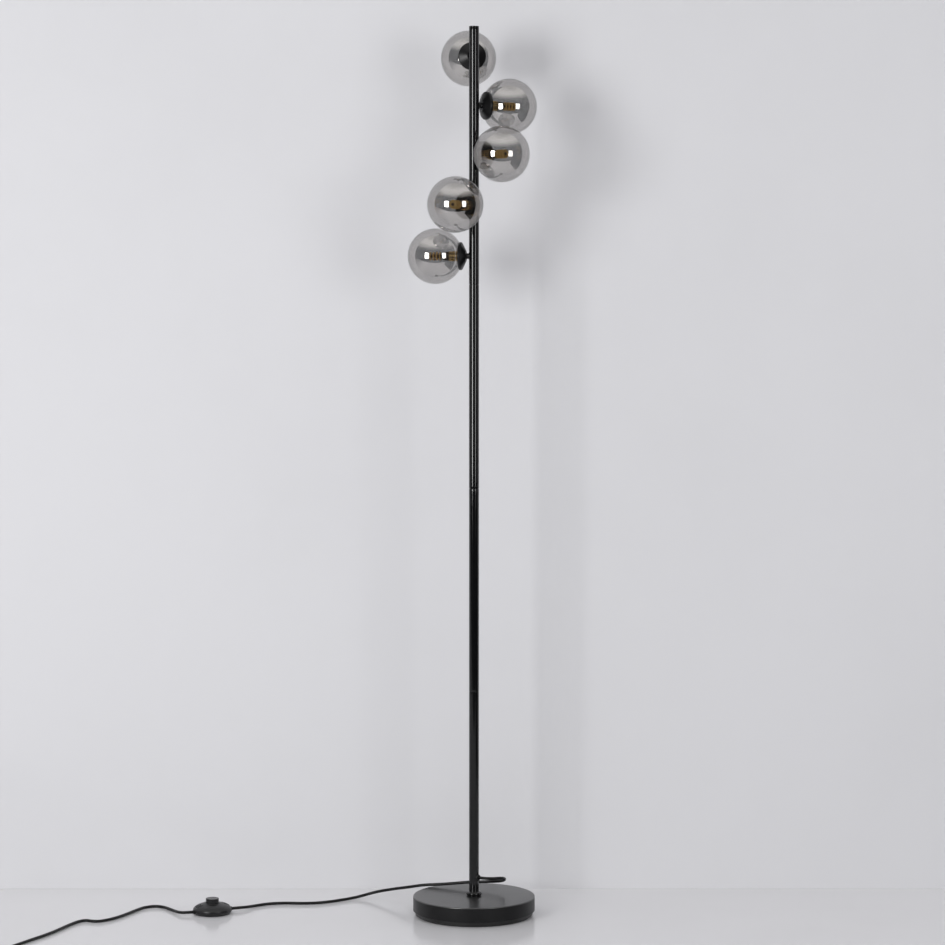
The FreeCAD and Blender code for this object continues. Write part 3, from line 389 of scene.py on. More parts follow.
@dataclass(frozen=True)
class Ceramic(Finish):
    """Fired ceramic with speckles and heat stain."""

    def surface(self, tree: ShaderTree) -> Wire:
        """Unglazed ceramic body.

        Args:
            tree: the material's node tree.

        Returns:
            The shader.
        """
        speck = tree.noise(1800.0, 2.0, 0.7).band(0.6, 0.72)
        stain = tree.noise(90.0, 3.0, 0.6).band(0.35, 0.75)
        brown = self.shade(0.72)
        tone = tree.blend(stain, self.colour, brown)
        return tree.principled(
            Base_Color=tree.blend(speck, tone, self.shade(0.45)),
            Roughness=0.42 + stain * 0.2,
            Normal=tree.bump(tree.noise(1400.0, 3.0, 0.6), 0.00003))


@dataclass(frozen=True)
class LightRing(Finish):
    """Yellow-orange light layer of the bulb's rings; the bulb is unlit, but the rings get a faint
    painted glow.
    """

    def surface(self, tree: ShaderTree) -> Wire:
        """Grainy phosphor with chips under it, and a faint painted glow.

        Args:
            tree: the material's node tree.

        Returns:
            The shader.
        """
        grain = tree.noise(2600.0, 2.0, 0.7)
        chips = tree.cells(620.0).band(0.05, 0.22)
        pale = self.shade(1.5, 0.05)
        # The emission on an unlit bulb is a faint painted glow that stands in for light on the
        # rings.
        return tree.principled(
            Base_Color=tree.blend(chips, pale, self.colour),
            Roughness=0.38 + grain * 0.2, Normal=tree.bump(grain, 0.00004),
            Emission_Color=(*self.colour, 1.0), Emission_Strength=0.12)


@dataclass(frozen=True)
class PlatedMetal(Finish):
    """Plated or bare metal with drawn lines along one axis."""

    roughness: float = 0.3
    drawn: Triple = (900.0, 900.0, 60.0)

    def surface(self, tree: ShaderTree) -> Wire:
        """Metal with fine lines and a spread of tarnish.

        Args:
            tree: the material's node tree.

        Returns:
            The shader.
        """
        lines = tree.noise(1.0, 3.0, 0.6, tree.stretched(self.drawn))
        tarnish = tree.noise(120.0, 3.0, 0.6).band(0.4, 0.8)
        darker = self.shade(0.78)
        return tree.principled(
            Base_Color=tree.blend(tarnish, self.colour, darker), Metallic=1.0,
            Roughness=self.roughness + (lines - 0.5) * 0.18 + tarnish * 0.06,
            Normal=tree.bump(lines, 0.00002))


@dataclass(frozen=True)
class CastSkin(Finish):
    """Rough skin of a sand casting."""

    def surface(self, tree: ShaderTree) -> Wire:
        """Dark pitted iron.

        Args:
            tree: the material's node tree.

        Returns:
            The shader.
        """
        pits = tree.cells(380.0).band(0.05, 0.4)
        rust = tree.noise(35.0, 4.0, 0.7).band(0.55, 0.8)
        return tree.principled(
            Base_Color=tree.blend(rust, self.colour, (0.16, 0.07, 0.035)), Metallic=0.5,
            Roughness=0.62 + rust * 0.2,
            Normal=tree.bump(pits + tree.noise(900.0, 3.0) * 0.5, 0.0003))


@dataclass(frozen=True)
class Felt(Finish):
    """Pressed felt with loose fibres."""

    def surface(self, tree: ShaderTree) -> Wire:
        """Dark fuzzy cloth.

        Args:
            tree: the material's node tree.

        Returns:
            The shader.
        """
        fibre = tree.noise(1.0, 4.0, 0.7, tree.stretched((2400.0, 700.0, 2400.0)))
        return tree.principled(
            Base_Color=tree.blend(fibre.band(0.4, 0.7), self.colour,
                                  self.shade(1.8)),
            Roughness=0.9 + fibre * 0.08, Sheen_Weight=0.3, Normal=tree.bump(fibre, 0.0003))


@dataclass(frozen=True)
class StudioFloor(Finish):
    """Smooth floor with a soft gloss."""

    roughness: float = 0.16
    gloss: float = 0.5

    def surface(self, tree: ShaderTree) -> Wire:
        """Even floor without joints.

        Args:
            tree: the material's node tree.

        Returns:
            The shader.
        """
        cloud = tree.noise(1.6, 3.0, 0.5)
        lighter = self.shade(1.04)
        return tree.principled(
            Base_Color=tree.blend(cloud.band(0.3, 0.7), self.colour, lighter),
            Roughness=self.roughness + (cloud - 0.5) * 0.06, Specular_IOR_Level=self.gloss)


@dataclass(frozen=True)
class StudioWall(Finish):
    """Pale painted wall, seen only from its front."""

    def surface(self, tree: ShaderTree) -> Wire:
        """Matte paint; its back lets everything through.

        Args:
            tree: the material's node tree.

        Returns:
            The shader.
        """
        cloud = tree.noise(1.1, 4.0, 0.6)
        darker = self.shade(0.965)
        paint = tree.principled(Base_Color=tree.blend(cloud.band(0.35, 0.7), self.colour, darker),
                                Roughness=0.75)
        behind = tree.node("ShaderNodeNewGeometry", output="Backfacing")
        clear = tree.node("ShaderNodeBsdfTransparent")
        return tree.node("ShaderNodeMixShader", values={0: behind, 1: paint, 2: clear})


BLACK_COAT = PowderCoat("satin_black_coat", (0.004, 0.004, 0.0045), 0.09, depth=0.0000015,
                        dust=0.003)
# Three copies of the base cover's one coat: the edge lighter as a painted highlight line, the top
# lighter and glossier as painted light, the skirt darker as painted shade.
EDGE_HIGHLIGHT_COAT = PowderCoat("edge_painted_highlight_coat", (0.035, 0.035, 0.036), 0.30, depth=0.000004, gloss=0.9)
LIT_TOP_COAT = PowderCoat("top_painted_light_coat", (0.011, 0.011, 0.0115), 0.30, 1100.0, gloss=1.0)
SHADED_SKIRT_COAT = PowderCoat("skirt_painted_shade_coat", (0.005, 0.005, 0.0055), 0.40, 1100.0, gloss=0.3)
CUP_COAT = PowderCoat("cup_black_coat", (0.004, 0.004, 0.0045), 0.33, dust=0.003, gloss=0.34)
SHEET_COAT = PowderCoat("sheet_black_coat", (0.009, 0.009, 0.009), 0.42, 500.0, 0.00004)
SWITCH_PLASTIC = MouldedPlastic("switch_black_plastic", (0.005, 0.005, 0.0055), 0.38)
BUTTON_PLASTIC = MouldedPlastic("button_black_plastic", (0.006, 0.006, 0.007), 0.24, 2000.0)
WHITE_PLASTIC = MouldedPlastic("white_plastic", (0.72, 0.72, 0.69), 0.45)
WIRE_PLASTIC = MouldedPlastic("wire_insulation", (0.62, 0.61, 0.57), 0.5)
RUBBER = MouldedPlastic("black_rubber", (0.008, 0.008, 0.008), 0.5, 900.0, 0.00003)
SHEATH = LeadSheath("lead_sheath", (0.003, 0.003, 0.0033))
PLUG_PLASTIC = MouldedPlastic("plug_black_plastic", (0.007, 0.007, 0.0075), 0.4, 1200.0, 0.00003)
SMOKED = SmokedGlass("smoked_glass", (0.575, 0.55, 0.53))
GLASS_INSIDE = ClearGlass("glass_inside", (0.05, 0.046, 0.044), 0.13)
ENVELOPE = ClearGlass("bulb_envelope", (0.22, 0.12, 0.04), 0.16)
HOLDER_CERAMIC = Ceramic("holder_ceramic", (0.16, 0.10, 0.05))
BULB_CERAMIC = Ceramic("bulb_ceramic", (0.07, 0.045, 0.022))
LIGHT_RING = LightRing("light_ring", (0.58, 0.37, 0.12))
BRASS = PlatedMetal("brass_contact", (0.80, 0.56, 0.24), 0.28)
ZINC = PlatedMetal("zinc_steel", (0.62, 0.62, 0.60), 0.34)
NICKEL = PlatedMetal("nickel_plate", (0.74, 0.71, 0.65), 0.18)
IRON = CastSkin("cast_iron_skin", (0.05, 0.05, 0.052))
FELT = Felt("black_felt", (0.02, 0.02, 0.02))
FLOOR = StudioFloor("studio_floor", (0.83, 0.825, 0.84))
# Dark sheet that only reflections see: a painted dark reflection.
DARK_REFLECTION_SHEET = StudioFloor("dark_reflection_sheet", (0.012, 0.012, 0.012), 0.9, 0.0)
WALL = StudioWall("studio_wall", (0.73, 0.73, 0.75))


# --- Mesh building ---
def radial(azimuth: float, height: float) -> Matrix:
    """Frame of a line out of the pole.

    Args:
        azimuth: degrees from the front.
        height: metres above the floor.

    Returns:
        A frame whose Z runs out from the pole, and whose Y points up.
    """
    turn = math.radians(azimuth)
    across = Vector((math.cos(turn), math.sin(turn), 0.0))
    outward = Vector((math.sin(turn), -math.cos(turn), 0.0))
    rows = [(across[i], (0.0, 0.0, 1.0)[i], outward[i], (0.0, 0.0, height)[i]) for i in range(3)]
    return Matrix((*rows, (0.0, 0.0, 0.0, 1.0)))


def rounded(corners: Sequence[Corner], steps: int) -> list[Corner]:
    """Outline with its corners rounded.

    Args:
        corners: (radius, height) or (radius, height, rounding), in order.
        steps: points on each rounded corner.

    Returns:
        Points of the outline.
    """
    points: list[Corner] = []
    for index, corner in enumerate(corners):
        here = Vector(corner[:2])
        if len(corner) < 3 or index in (0, len(corners) - 1):
            points.append(tuple(here))
            continue
        back = Vector(corners[index - 1][:2]) - here
        ahead = Vector(corners[index + 1][:2]) - here
        reach = min(corner[2], back.length * 0.49, ahead.length * 0.49)
        start, end = here + back.normalized() * reach, here + ahead.normalized() * reach
        for step in range(steps + 1):
            share = step / steps
            points.append(tuple(start.lerp(here, share).lerp(here.lerp(end, share), share)))
    return points


def arc(centre: float, radius: float, start: float, steps: int) -> list[Corner]:
    """Arc about a point on the axis.

    Args:
        centre: height of that point.
        radius: radius of the arc.
        start: degrees off the axis where it starts; it ends on the axis at the far side.
        steps: stretches between its points.

    Returns:
        Points of the outline.
    """
    angles = [math.radians(start + (180.0 - start) * step / steps) for step in range(steps + 1)]
    return [(max(0.0, radius * math.sin(angle)), centre - radius * math.cos(angle))
            for angle in angles]


class Shape:
    """Mesh of the piece that stands for one CAD node, grown by turned, laid and lofted forms."""

    def __init__(self, node: str) -> None:
        """Start an empty mesh.

        Args:
            node: the CAD node that it replaces, which gives it its name.
        """
        stem, _, last = node.rpartition("_")
        self.name = "%s_dress_%s" % (stem, last) if last.isdigit() else node + "_dress"
        self.node = node
        self.mesh = bmesh.new()
        self.finishes: list[Finish] = []

    def rings(self, rings: Sequence[Sequence[Vector]], finish: Finish, closed: bool = False,
              caps: bool = False) -> "Shape":
        """Skin a row of rings; a ring of one point is a pole.

        Args:
            rings: points of each ring.
            finish: what the skin is made of.
            closed: join the last ring to the first.
            caps: close both ends with a face.

        Returns:
            The shape itself.
        """
        if finish not in self.finishes:
            self.finishes.append(finish)
        number = self.finishes.index(finish)
        made = [[self.mesh.verts.new(point) for point in ring] for ring in rings]
        pairs = list(zip(made, made[1:])) + ([(made[-1], made[0])] if closed else [])
        for first, second in pairs:
            count = max(len(first), len(second))
            for index in range(count):
                after = (index + 1) % count
                corners = [first[index % len(first)], first[after % len(first)],
                           second[after % len(second)], second[index % len(second)]]
                unique = list(dict.fromkeys(corners))
                if len(unique) > 2:
                    self.mesh.faces.new(unique).material_index = number
        if caps:
            for ring in (made[0], made[-1]):
                self.mesh.faces.new(ring).material_index = number
        return self

    def turn(self, outline: Sequence[Corner], finish: Finish, place: Matrix = Matrix(),
             count: int = 96, closed: bool = False) -> "Shape":
        """Turn an outline about the placement's Z axis.

        Args:
            outline: (radius, height) points.
            finish: what the skin is made of.
            place: frame of the outline.
            count: points round the axis.
            closed: join the outline's ends.

        Returns:
            The shape itself.
        """
        angles = [2 * math.pi * index / count for index in range(count)]
        rings = [[place @ Vector((0.0, 0.0, height))] if radius < ON_AXIS else
                 [place @ Vector((radius * math.cos(angle), radius * math.sin(angle), height))
                  for angle in angles] for radius, height in outline]
        return self.rings(rings, finish, closed)

    def block(self, low: Triple, high: Triple, finish: Finish, place: Matrix,
              edge: float) -> "Shape":
        """Box with chamfered edges, built from eight-cornered sections.

        Args:
            low: lowest corner.
            high: highest corner.
            finish: what the box is made of.
            place: frame of the box.
            edge: width of its chamfers.

        Returns:
            The shape itself.
        """
        sections = []
        for height, inset in ((low[2], edge), (low[2] + edge, 0.0), (high[2] - edge, 0.0),
                              (high[2], edge)):
            x0, y0, x1, y1 = low[0] + inset, low[1] + inset, high[0] - inset, high[1] - inset
            ring = [(x0 + edge, y0), (x1 - edge, y0), (x1, y0 + edge), (x1, y1 - edge),
                    (x1 - edge, y1), (x0 + edge, y1), (x0, y1 - edge), (x0, y0 + edge)]
            sections.append([place @ Vector((x, y, height)) for x, y in ring])
        return self.rings(sections, finish, caps=True)

    def done(self, slot: Slot, body: str = LAMP, sharp: float = 38.0) -> bpy.types.Object:
        """Make the object, let it ride and let it stand for its node.

        Args:
            slot: the record's material slot; not used.
            body: the body that it moves with.
            sharp: angle in degrees over which an edge stays hard.

        Returns:
            The new object.
        """
        bmesh.ops.recalc_face_normals(self.mesh, faces=self.mesh.faces)
        data = bpy.data.meshes.new(self.name)
        self.mesh.to_mesh(data)
        self.mesh.free()
        data.shade_smooth()
        data.set_sharp_from_angle(angle=math.radians(sharp))
        for finish in self.finishes:
            data.materials.append(finish.material())
        piece = put(self.name, data)
        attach(piece, body)
        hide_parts(self.node)
        LOG.info("%s: %d faces on %s", self.name, len(data.polygons), body)
        return piece


def put(name: str, data: bpy.types.ID) -> bpy.types.Object:
    """Put a new object into the scene.

    Args:
        name: name of the object.
        data: its mesh, curve, light or camera.

    Returns:
        The object.
    """
    piece = bpy.data.objects.new(name, data)
    bpy.context.scene.collection.objects.link(piece)
    return piece


def turned(node: str, slot: Slot, finish: Finish, outline: Sequence[Corner],
           place: Matrix = Matrix(), count: int = 96, closed: bool = True,
           body: str = LAMP) -> None:
    """Make a piece that is one turned form.

    Args:
        node: CAD node that it replaces.
        slot: the record's material slot.
        finish: what it is made of.
        outline: (radius, height) points.
        place: frame of the outline.
        count: points round the axis.
        closed: join the outline's ends.
        body: the body that it moves with.
    """
    Shape(node).turn(outline, finish, place, count, closed).done(slot, body)


def dress(finish: Finish, *nodes: str) -> None:
    """Give CAD nodes that stay as they are a finish of their own.

    Args:
        finish: the finish.
        nodes: names of the nodes.
    """
    for node in nodes:
        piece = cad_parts[node]
        piece.data.materials.clear()
        piece.data.materials.append(finish.material())
        LOG.info("%s: %s", node, finish.name)


# --- Base ---
@dataclass
class Base:
    """Pressed cover, weight, bottom plate and felt pad."""

    radius: float = 0.111
    top: float = BASE_TOP
    skirt_bottom: float = 0.009
    wall: float = 0.0015
    edge_round: float = 0.0022
    inner_round: float = 0.0016
    facets: int = 256
    stud_hole: float = 0.00525
    collar_radius: float = 0.0142
    collar_height: float = 0.007
    bead_swell: float = 0.9
    bead_start: float = 0.12
    bead_span: float = 0.76
    bead_steps: int = 12
    step_foot: float = 0.0014
    step_top: float = 0.0009
    pole_radius: float = POLE_RADIUS

    def build(self) -> None:
        """Make every piece of the base."""
        self.cover()
        self.collar()
        dress(SHEET_COAT, "base_plate")
        dress(IRON, "base_weight")
        dress(FELT, "base_pad")
        dress(ZINC, "base_washer", "base_nut", "pole_stud")

    def cover(self) -> None:
        """Cover with a soft edge and a rolled lip, in three painted copies of one coat: a lighter,
        glossier top as painted light, a lighter edge as a painted highlight line, and a darker
        skirt as painted shade.
        """
        inner = self.radius - self.wall
        ceiling = self.top - self.wall
        side = rounded([
            (self.stud_hole, ceiling),
            (inner, ceiling, self.inner_round),
            (inner, self.skirt_bottom, SMALL),
            (self.radius, self.skirt_bottom, EASY),
            (self.radius, self.top, self.edge_round),
            (self.collar_radius, self.top),
        ], 8)
        rounds = [index for index, (radius, height) in enumerate(side)
                  if height > self.top - self.edge_round and radius > inner + HAIR / 2]
        shoulder, crown = rounds[1], len(side) - 2
        shape = Shape("base_cover")
        # Skirt, edge and top get the painted shade, painted highlight and painted light copies of
        # the coat.
        for outline, coat in ((side[:shoulder + 1], SHADED_SKIRT_COAT),
                              (side[shoulder:crown + 1], EDGE_HIGHLIGHT_COAT),
                              (side[crown:] + [(self.stud_hole, self.top), side[0]], LIT_TOP_COAT)):
            shape.turn(outline, coat, count=self.facets)
        bmesh.ops.remove_doubles(shape.mesh, verts=shape.mesh.verts, dist=WELD)
        shape.done(Slot.METAL)

    def collar(self) -> None:
        """Bead ring round the pole's foot, with a small step on top."""
        low, high, bore = self.top, self.top + self.collar_height, self.pole_radius
        half = self.collar_height / 2
        angles = [math.pi * (self.bead_start + self.bead_span * step / self.bead_steps)
                  for step in range(self.bead_steps + 1)]
        bead = [(self.collar_radius - half * self.bead_swell * (1 - math.sin(angle)),
                 low + half * (1 - math.cos(angle))) for angle in angles]
        turned("pole_collar", Slot.METAL, BLACK_COAT, [
            (bore, low), (bead[0][0], low), *bead, (bore + self.step_foot, high),
            (bore + self.step_top, high + EASY), (bore, high + EASY)])


# --- Pole ---
@dataclass
class Pole:
    """Four screwed tubes with fine seams, the cap, and what joins them inside."""

    radius: float = POLE_RADIUS
    wall: float = 0.001
    foot: float = BASE_TOP
    seams: tuple[float, ...] = (0.410, 0.779, 1.148)
    top: float = 1.608
    seam_depth: float = 0.0006
    seam_reach: float = 0.0005
    end_ring: float = 0.004
    cap_height: float = 0.002
    cap_round: float = 0.0009
    crown_radius: float = 0.0055
    crown_round: float = 0.002
    plug_length: float = 0.008

    def build(self) -> None:
        """Make every piece of the pole."""
        ends = (self.foot, *self.seams, self.top)
        for number, (low, high) in enumerate(zip(ends, ends[1:]), start=1):
            self.tube(number, low, high)
        self.cap()
        dress(ZINC, "foot_insert", "pole_joiner_1", "pole_joiner_2", "pole_joiner_3")

    def tube(self, number: int, low: float, high: float) -> None:
        """One tube with stepped ends, so that a fine groove shows at each joint.

        Args:
            number: number of the tube, from the foot up.
            low: height of its lower end.
            high: height of its upper end.
        """
        bore, r, neck = self.radius - self.wall, self.radius, self.radius - self.seam_depth
        first, last = low + self.seam_reach, high - self.seam_reach
        turned("pole_tube_%d" % number, Slot.METAL, BLACK_COAT, rounded([
            (bore, low), (neck, low), (neck, first), (r, first, FINE), (r, low + self.end_ring),
            (r, (low + high) / 2), (r, high - self.end_ring), (r, last, FINE), (neck, last),
            (neck, high), (bore, high),
        ], 4))

    def cap(self) -> None:
        """Flat cap with a soft rim, plugged into the top tube."""
        bore = self.radius - self.wall
        low, high = self.top - self.plug_length, self.top + self.cap_height
        turned("pole_cap", Slot.METAL, BLACK_COAT, rounded([
            (0.0, low), (bore, low, SOFT), (bore, self.top), (self.radius, self.top, FINE),
            (self.radius, high, self.cap_round), (self.crown_radius, high, self.crown_round),
            (0.0, high),
        ], 6), closed=False)


# --- Lead exit and inner wiring ---
@dataclass
class LeadExit:
    """Grommet where the lead leaves the pole, and the wiring inside."""

    azimuth: float = 55.0
    height: float = 0.069
    flange_radius: float = 0.0056
    flange_back: float = 0.0075
    waist_radius: float = 0.0044
    lead_radius: float = LEAD_RADIUS
    face: float = 0.011
    face_round: float = 0.0011
    mouth_depth: float = 0.0012
    inner_face: float = 0.005

    @property
    def place(self) -> Matrix:
        """Frame of the grommet."""
        return radial(self.azimuth, self.height)

    def build(self) -> None:
        """Make the grommet and dress the inner pieces."""
        bore, waist, flange = self.lead_radius, self.waist_radius, self.flange_radius
        turned("cord_grommet", Slot.RUBBER, RUBBER, rounded([
            (bore, self.inner_face), (waist, self.inner_face, SMALL), (waist, self.flange_back),
            (flange, self.flange_back, FINE), (flange, self.face, self.face_round),
            (bore + EASY, self.face, SOFT), (bore, self.face - self.mouth_depth, FINE),
        ], 6), self.place, 48)
        dress(WHITE_PLASTIC, "cord_clamp", "wire_splices")
        dress(WIRE_PLASTIC, "lamp_wires")


# --- Globe fittings ---
class Arm(Enum):
    """The five arms, from the lowest up: azimuth in degrees and height in metres."""

    FIRST = (-100.0, 1.199)
    SECOND = (-28.0, 1.289)
    THIRD = (44.0, 1.379)
    FOURTH = (116.0, 1.469)
    FIFTH = (188.0, 1.559)

    @property
    def place(self) -> Matrix:
        """Frame of the arm."""
        return radial(*self.value)


@dataclass
class GlobeFitting:
    """One arm with its cup, lamp holder, bulb and globe; reaches are from the pole's axis."""

    number: int
    arm: Arm
    neck_radius: float = 0.0056
    neck_start: float = 0.0070
    neck_end: float = 0.0205
    wire_bore: float = 0.0024
    thread_radius: float = 0.004
    front_ring: float = 0.0098
    rear_ring: float = 0.0012
    cup_back: float = 0.0144
    cup_back_radius: float = 0.0099
    cup_back_round: float = 0.0009
    cup_hole: float = 0.00405
    cup_radius: float = 0.0252
    cone_end: float = 0.0223
    cone_round: float = 0.0014
    cup_mouth: float = 0.0265
    cup_wall: float = 0.0012
    cup_floor: float = 0.0170
    seat_radius: float = 0.01394
    seat_bore: float = 0.0116
    seat_end: float = 0.0240
    seat_turns: int = 4
    holder_radius: float = 0.009
    holder_bore: float = 0.0041
    holder_back: float = 0.0195
    holder_face: float = 0.0470
    sleeve_length: float = 0.0085
    sleeve_step: float = 0.0010
    rib_count: int = 14
    rib_depth: float = 0.0022
    rib_half_width: float = 0.0010
    hoop_inset: float = 0.0012
    hoop_low: float = 0.0062
    hoop_high: float = 0.0078
    contact_bore: float = 0.0009
    contact_radius: float = 0.0016
    contact_height: float = 0.0007
    pin_offset: float = 0.0045
    pin_radius: float = 0.0008
    pin_length: float = 0.011
    bulb_foot_radius: float = 0.0078
    bulb_foot_length: float = 0.009
    bulb_foot_taper: float = 0.0016
    bulb_radius: float = 0.0069
    bulb_length: float = 0.042
    shoulder_drop: float = 0.0042
    shoulder_round: float = 0.003
    tip_radius: float = 0.0036
    tip_round: float = 0.002
    envelope_foot: float = 0.001
    core_radius: float = 0.0030
    core_drop: float = 0.0075
    core_tip_drop: float = 0.0068
    core_round: float = 0.001
    ring_radius: float = 0.008
    ring_start: float = 0.0142
    ring_pitch: float = 0.0059
    ring_width: float = 0.0016
    band_width: float = 0.0019
    ring_count: int = 4
    globe_centre: float = 0.0708
    globe_radius: float = 0.050
    globe_wall: float = 0.002
    globe_steps: int = 84
    globe_facets: int = 160
    glass_neck_radius: float = 0.016
    glass_neck_bore: float = 0.0140
    glass_neck_end: float = 0.0196
    glass_neck_fillet: float = 0.0016
    lip_width: float = 0.001
    lip_round: float = 0.0007

    def build(self) -> None:
        """Make every piece of the fitting."""
        self.neck()
        self.cup()
        self.holder()
        self.bulb()
        self.globe()

    def neck(self) -> None:
        """Short arm with a fine shoulder ring at each end."""
        r, waist, back = self.neck_radius, self.neck_radius - SOFT, self.cup_back
        turned("arm_neck_%d" % self.number, Slot.METAL, CUP_COAT, rounded([
            (self.wire_bore, self.neck_start), (r, self.neck_start), (r, self.front_ring, FINE),
            (waist, self.front_ring + FINE, HAIR), (waist, back - self.rear_ring - SMALL, HAIR),
            (r, back - self.rear_ring, FINE), (r, back), (self.thread_radius, back),
            (self.thread_radius, self.neck_end), (self.wire_bore, self.neck_end),
        ], 4), self.arm.place, 64)

    def cup(self) -> None:
        """Cup: cone, straight rim and the threaded seat inside it."""
        rim, back = self.cup_radius - self.cup_wall, self.cup_back
        slope = (self.cup_radius - self.cup_back_radius) / (self.cone_end - back)
        wall = self.cup_wall * math.sqrt(1 + slope ** 2)

        def inside(radius: float) -> float:
            """Reach of the inner cone at a radius."""
            return back + (radius - self.cup_back_radius + wall) / slope

        first = inside(self.seat_radius) + BROAD
        pitch = (self.seat_end - EASY - first) / self.seat_turns
        lows = [first + turn * pitch for turn in range(self.seat_turns)]
        thread = [point for low in lows for point in (
            (self.seat_radius, low), (self.seat_radius - SOFT, low + EASY))]
        turned("globe_cup_%d" % self.number, Slot.METAL, CUP_COAT, rounded([
            (self.cup_hole, back), (self.cup_back_radius, back, self.cup_back_round),
            (self.cup_radius, self.cone_end, self.cone_round),
            (self.cup_radius, self.cup_mouth, EASY), (rim, self.cup_mouth, SMALL),
            (rim, inside(rim)), (self.seat_radius, inside(self.seat_radius)), *thread,
            (self.seat_radius, self.seat_end - HAIR), (self.seat_bore, self.seat_end),
            (self.seat_bore, self.cup_floor), (self.cup_hole, self.cup_floor),
        ], 7), self.arm.place, 128)

    def holder(self) -> None:
        """Ceramic holder: plain back, ribbed sleeve and two contact slots in brass."""
        r, back, face = self.holder_radius, self.holder_back, self.holder_face
        sleeve, slim, place = back + self.sleeve_length, r - self.sleeve_step, self.arm.place
        shape = Shape("lamp_holder_%d" % self.number)
        shape.turn(rounded([
            (self.holder_bore, back), (r, back, BROAD), (r, sleeve, EASY), (slim, sleeve + SMALL),
            (slim, face - 2 * BROAD, SMALL), (r - SOFT, face, BROAD), (0.0, face)], 4),
            HOLDER_CERAMIC, place, 64)
        for index in range(self.rib_count):
            turn = Matrix.Rotation(2 * math.pi * index / self.rib_count, 4, "Z")
            shape.block((r - self.rib_depth, -self.rib_half_width, sleeve + HAIR),
                        (r, self.rib_half_width, face - self.rib_depth), BRASS, place @ turn, FINE)
        inner, outer = r - self.hoop_inset, r + HAIR
        low, high = sleeve + self.hoop_low, sleeve + self.hoop_high
        shape.turn(rounded([(inner, low), (outer, low, FINE), (outer, high, FINE), (inner, high)],
                           3), BRASS, place, 64, True)
        ring = rounded([(self.contact_bore, 0.0), (self.contact_radius, 0.0),
                        (self.contact_radius, self.contact_height, FINE),
                        (self.contact_bore, self.contact_height)], 3)
        for side in (-self.pin_offset, self.pin_offset):
            shape.turn(ring, BRASS, place @ Matrix.Translation((side, 0.0, face - SMALL)), 16,
                       True)
        shape.done(Slot.CERAMIC)

    def bulb(self) -> None:
        """Pin bulb: ceramic foot, tinted envelope, lens-shaped light rings and two pins."""
        face, place, core = self.holder_face, self.arm.place, self.core_radius
        foot, skin = self.bulb_foot_radius, self.bulb_radius - HAIR / 2
        foot_end, tip, low = face + self.bulb_foot_length, face + self.bulb_length, face + HAIR / 2
        shape = Shape("bulb_%d" % self.number)
        shape.turn(rounded([
            (0.0, low), (foot, low, BROAD), (foot, foot_end - self.bulb_foot_taper, EASY),
            (self.bulb_radius, foot_end, SMALL), (0.0, foot_end)], 5), BULB_CERAMIC, place, 64)
        shape.turn(rounded([
            (self.bulb_radius - HAIR, foot_end), (skin, foot_end + self.envelope_foot),
            (skin, tip - self.shoulder_drop, self.shoulder_round),
            (self.tip_radius, tip - FINE, self.tip_round), (0.0, tip)], 8), ENVELOPE, place, 64)
        shape.turn(rounded([
            (0.0, foot_end), (core, foot_end), (core, tip - self.core_drop, self.core_round),
            (0.0, tip - self.core_tip_drop)], 4), BULB_CERAMIC, place, 32)
        for ring in range(self.ring_count):
            middle = face + self.ring_start + ring * self.ring_pitch + self.ring_width / 2
            low, high = middle - self.band_width / 2, middle + self.band_width / 2
            base, brow, crest = self.bulb_radius + HAIR, self.ring_radius - FINE, self.ring_radius
            shape.turn([(core, low + HAIR), (base, low), (brow, middle - BROAD), (crest, middle),
                        (brow, middle + BROAD), (base, high), (core, high - HAIR)],
                       LIGHT_RING, place, 64, True)
        end = face - self.pin_length
        pin = [(0.0, end), (self.pin_radius - FINE, end), (self.pin_radius, end + SOFT),
               (self.pin_radius, face + HAIR)]
        for side in (-self.pin_offset, self.pin_offset):
            shape.turn(pin, NICKEL, place @ Matrix.Translation((side, 0.0, 0.0)), 16)
        shape.done(Slot.ENVELOPE)

    def globe(self) -> None:
        """Blown globe: mirror film outside, bare glass inside, and a rolled neck."""
        middle, radius, end = self.globe_centre, self.globe_radius, self.glass_neck_end
        inner, neck, bore = radius - self.globe_wall, self.glass_neck_radius, self.glass_neck_bore
        open_outside = math.degrees(math.asin(neck / radius)) + 2.0
        open_inside = math.degrees(math.asin(bore / inner))
        outside = arc(middle, radius, open_outside, self.globe_steps)
        foot = middle - math.sqrt(radius ** 2 - neck ** 2)
        lip = (bore + self.lip_width, end)
        skin = rounded([lip, (neck, end, self.lip_round), (neck, foot, self.glass_neck_fillet),
                        outside[0]], 6) + outside[1:]
        hollow = [lip, (bore, end + self.lip_round)]
        hollow += arc(middle, inner, open_inside, self.globe_steps)
        shape = Shape("glass_globe_%d" % self.number)
        shape.turn(skin, SMOKED, self.arm.place, self.globe_facets)
        shape.turn(hollow, GLASS_INSIDE, self.arm.place, self.globe_facets)
        shape.done(Slot.GLASS, "globe_%d" % self.number)


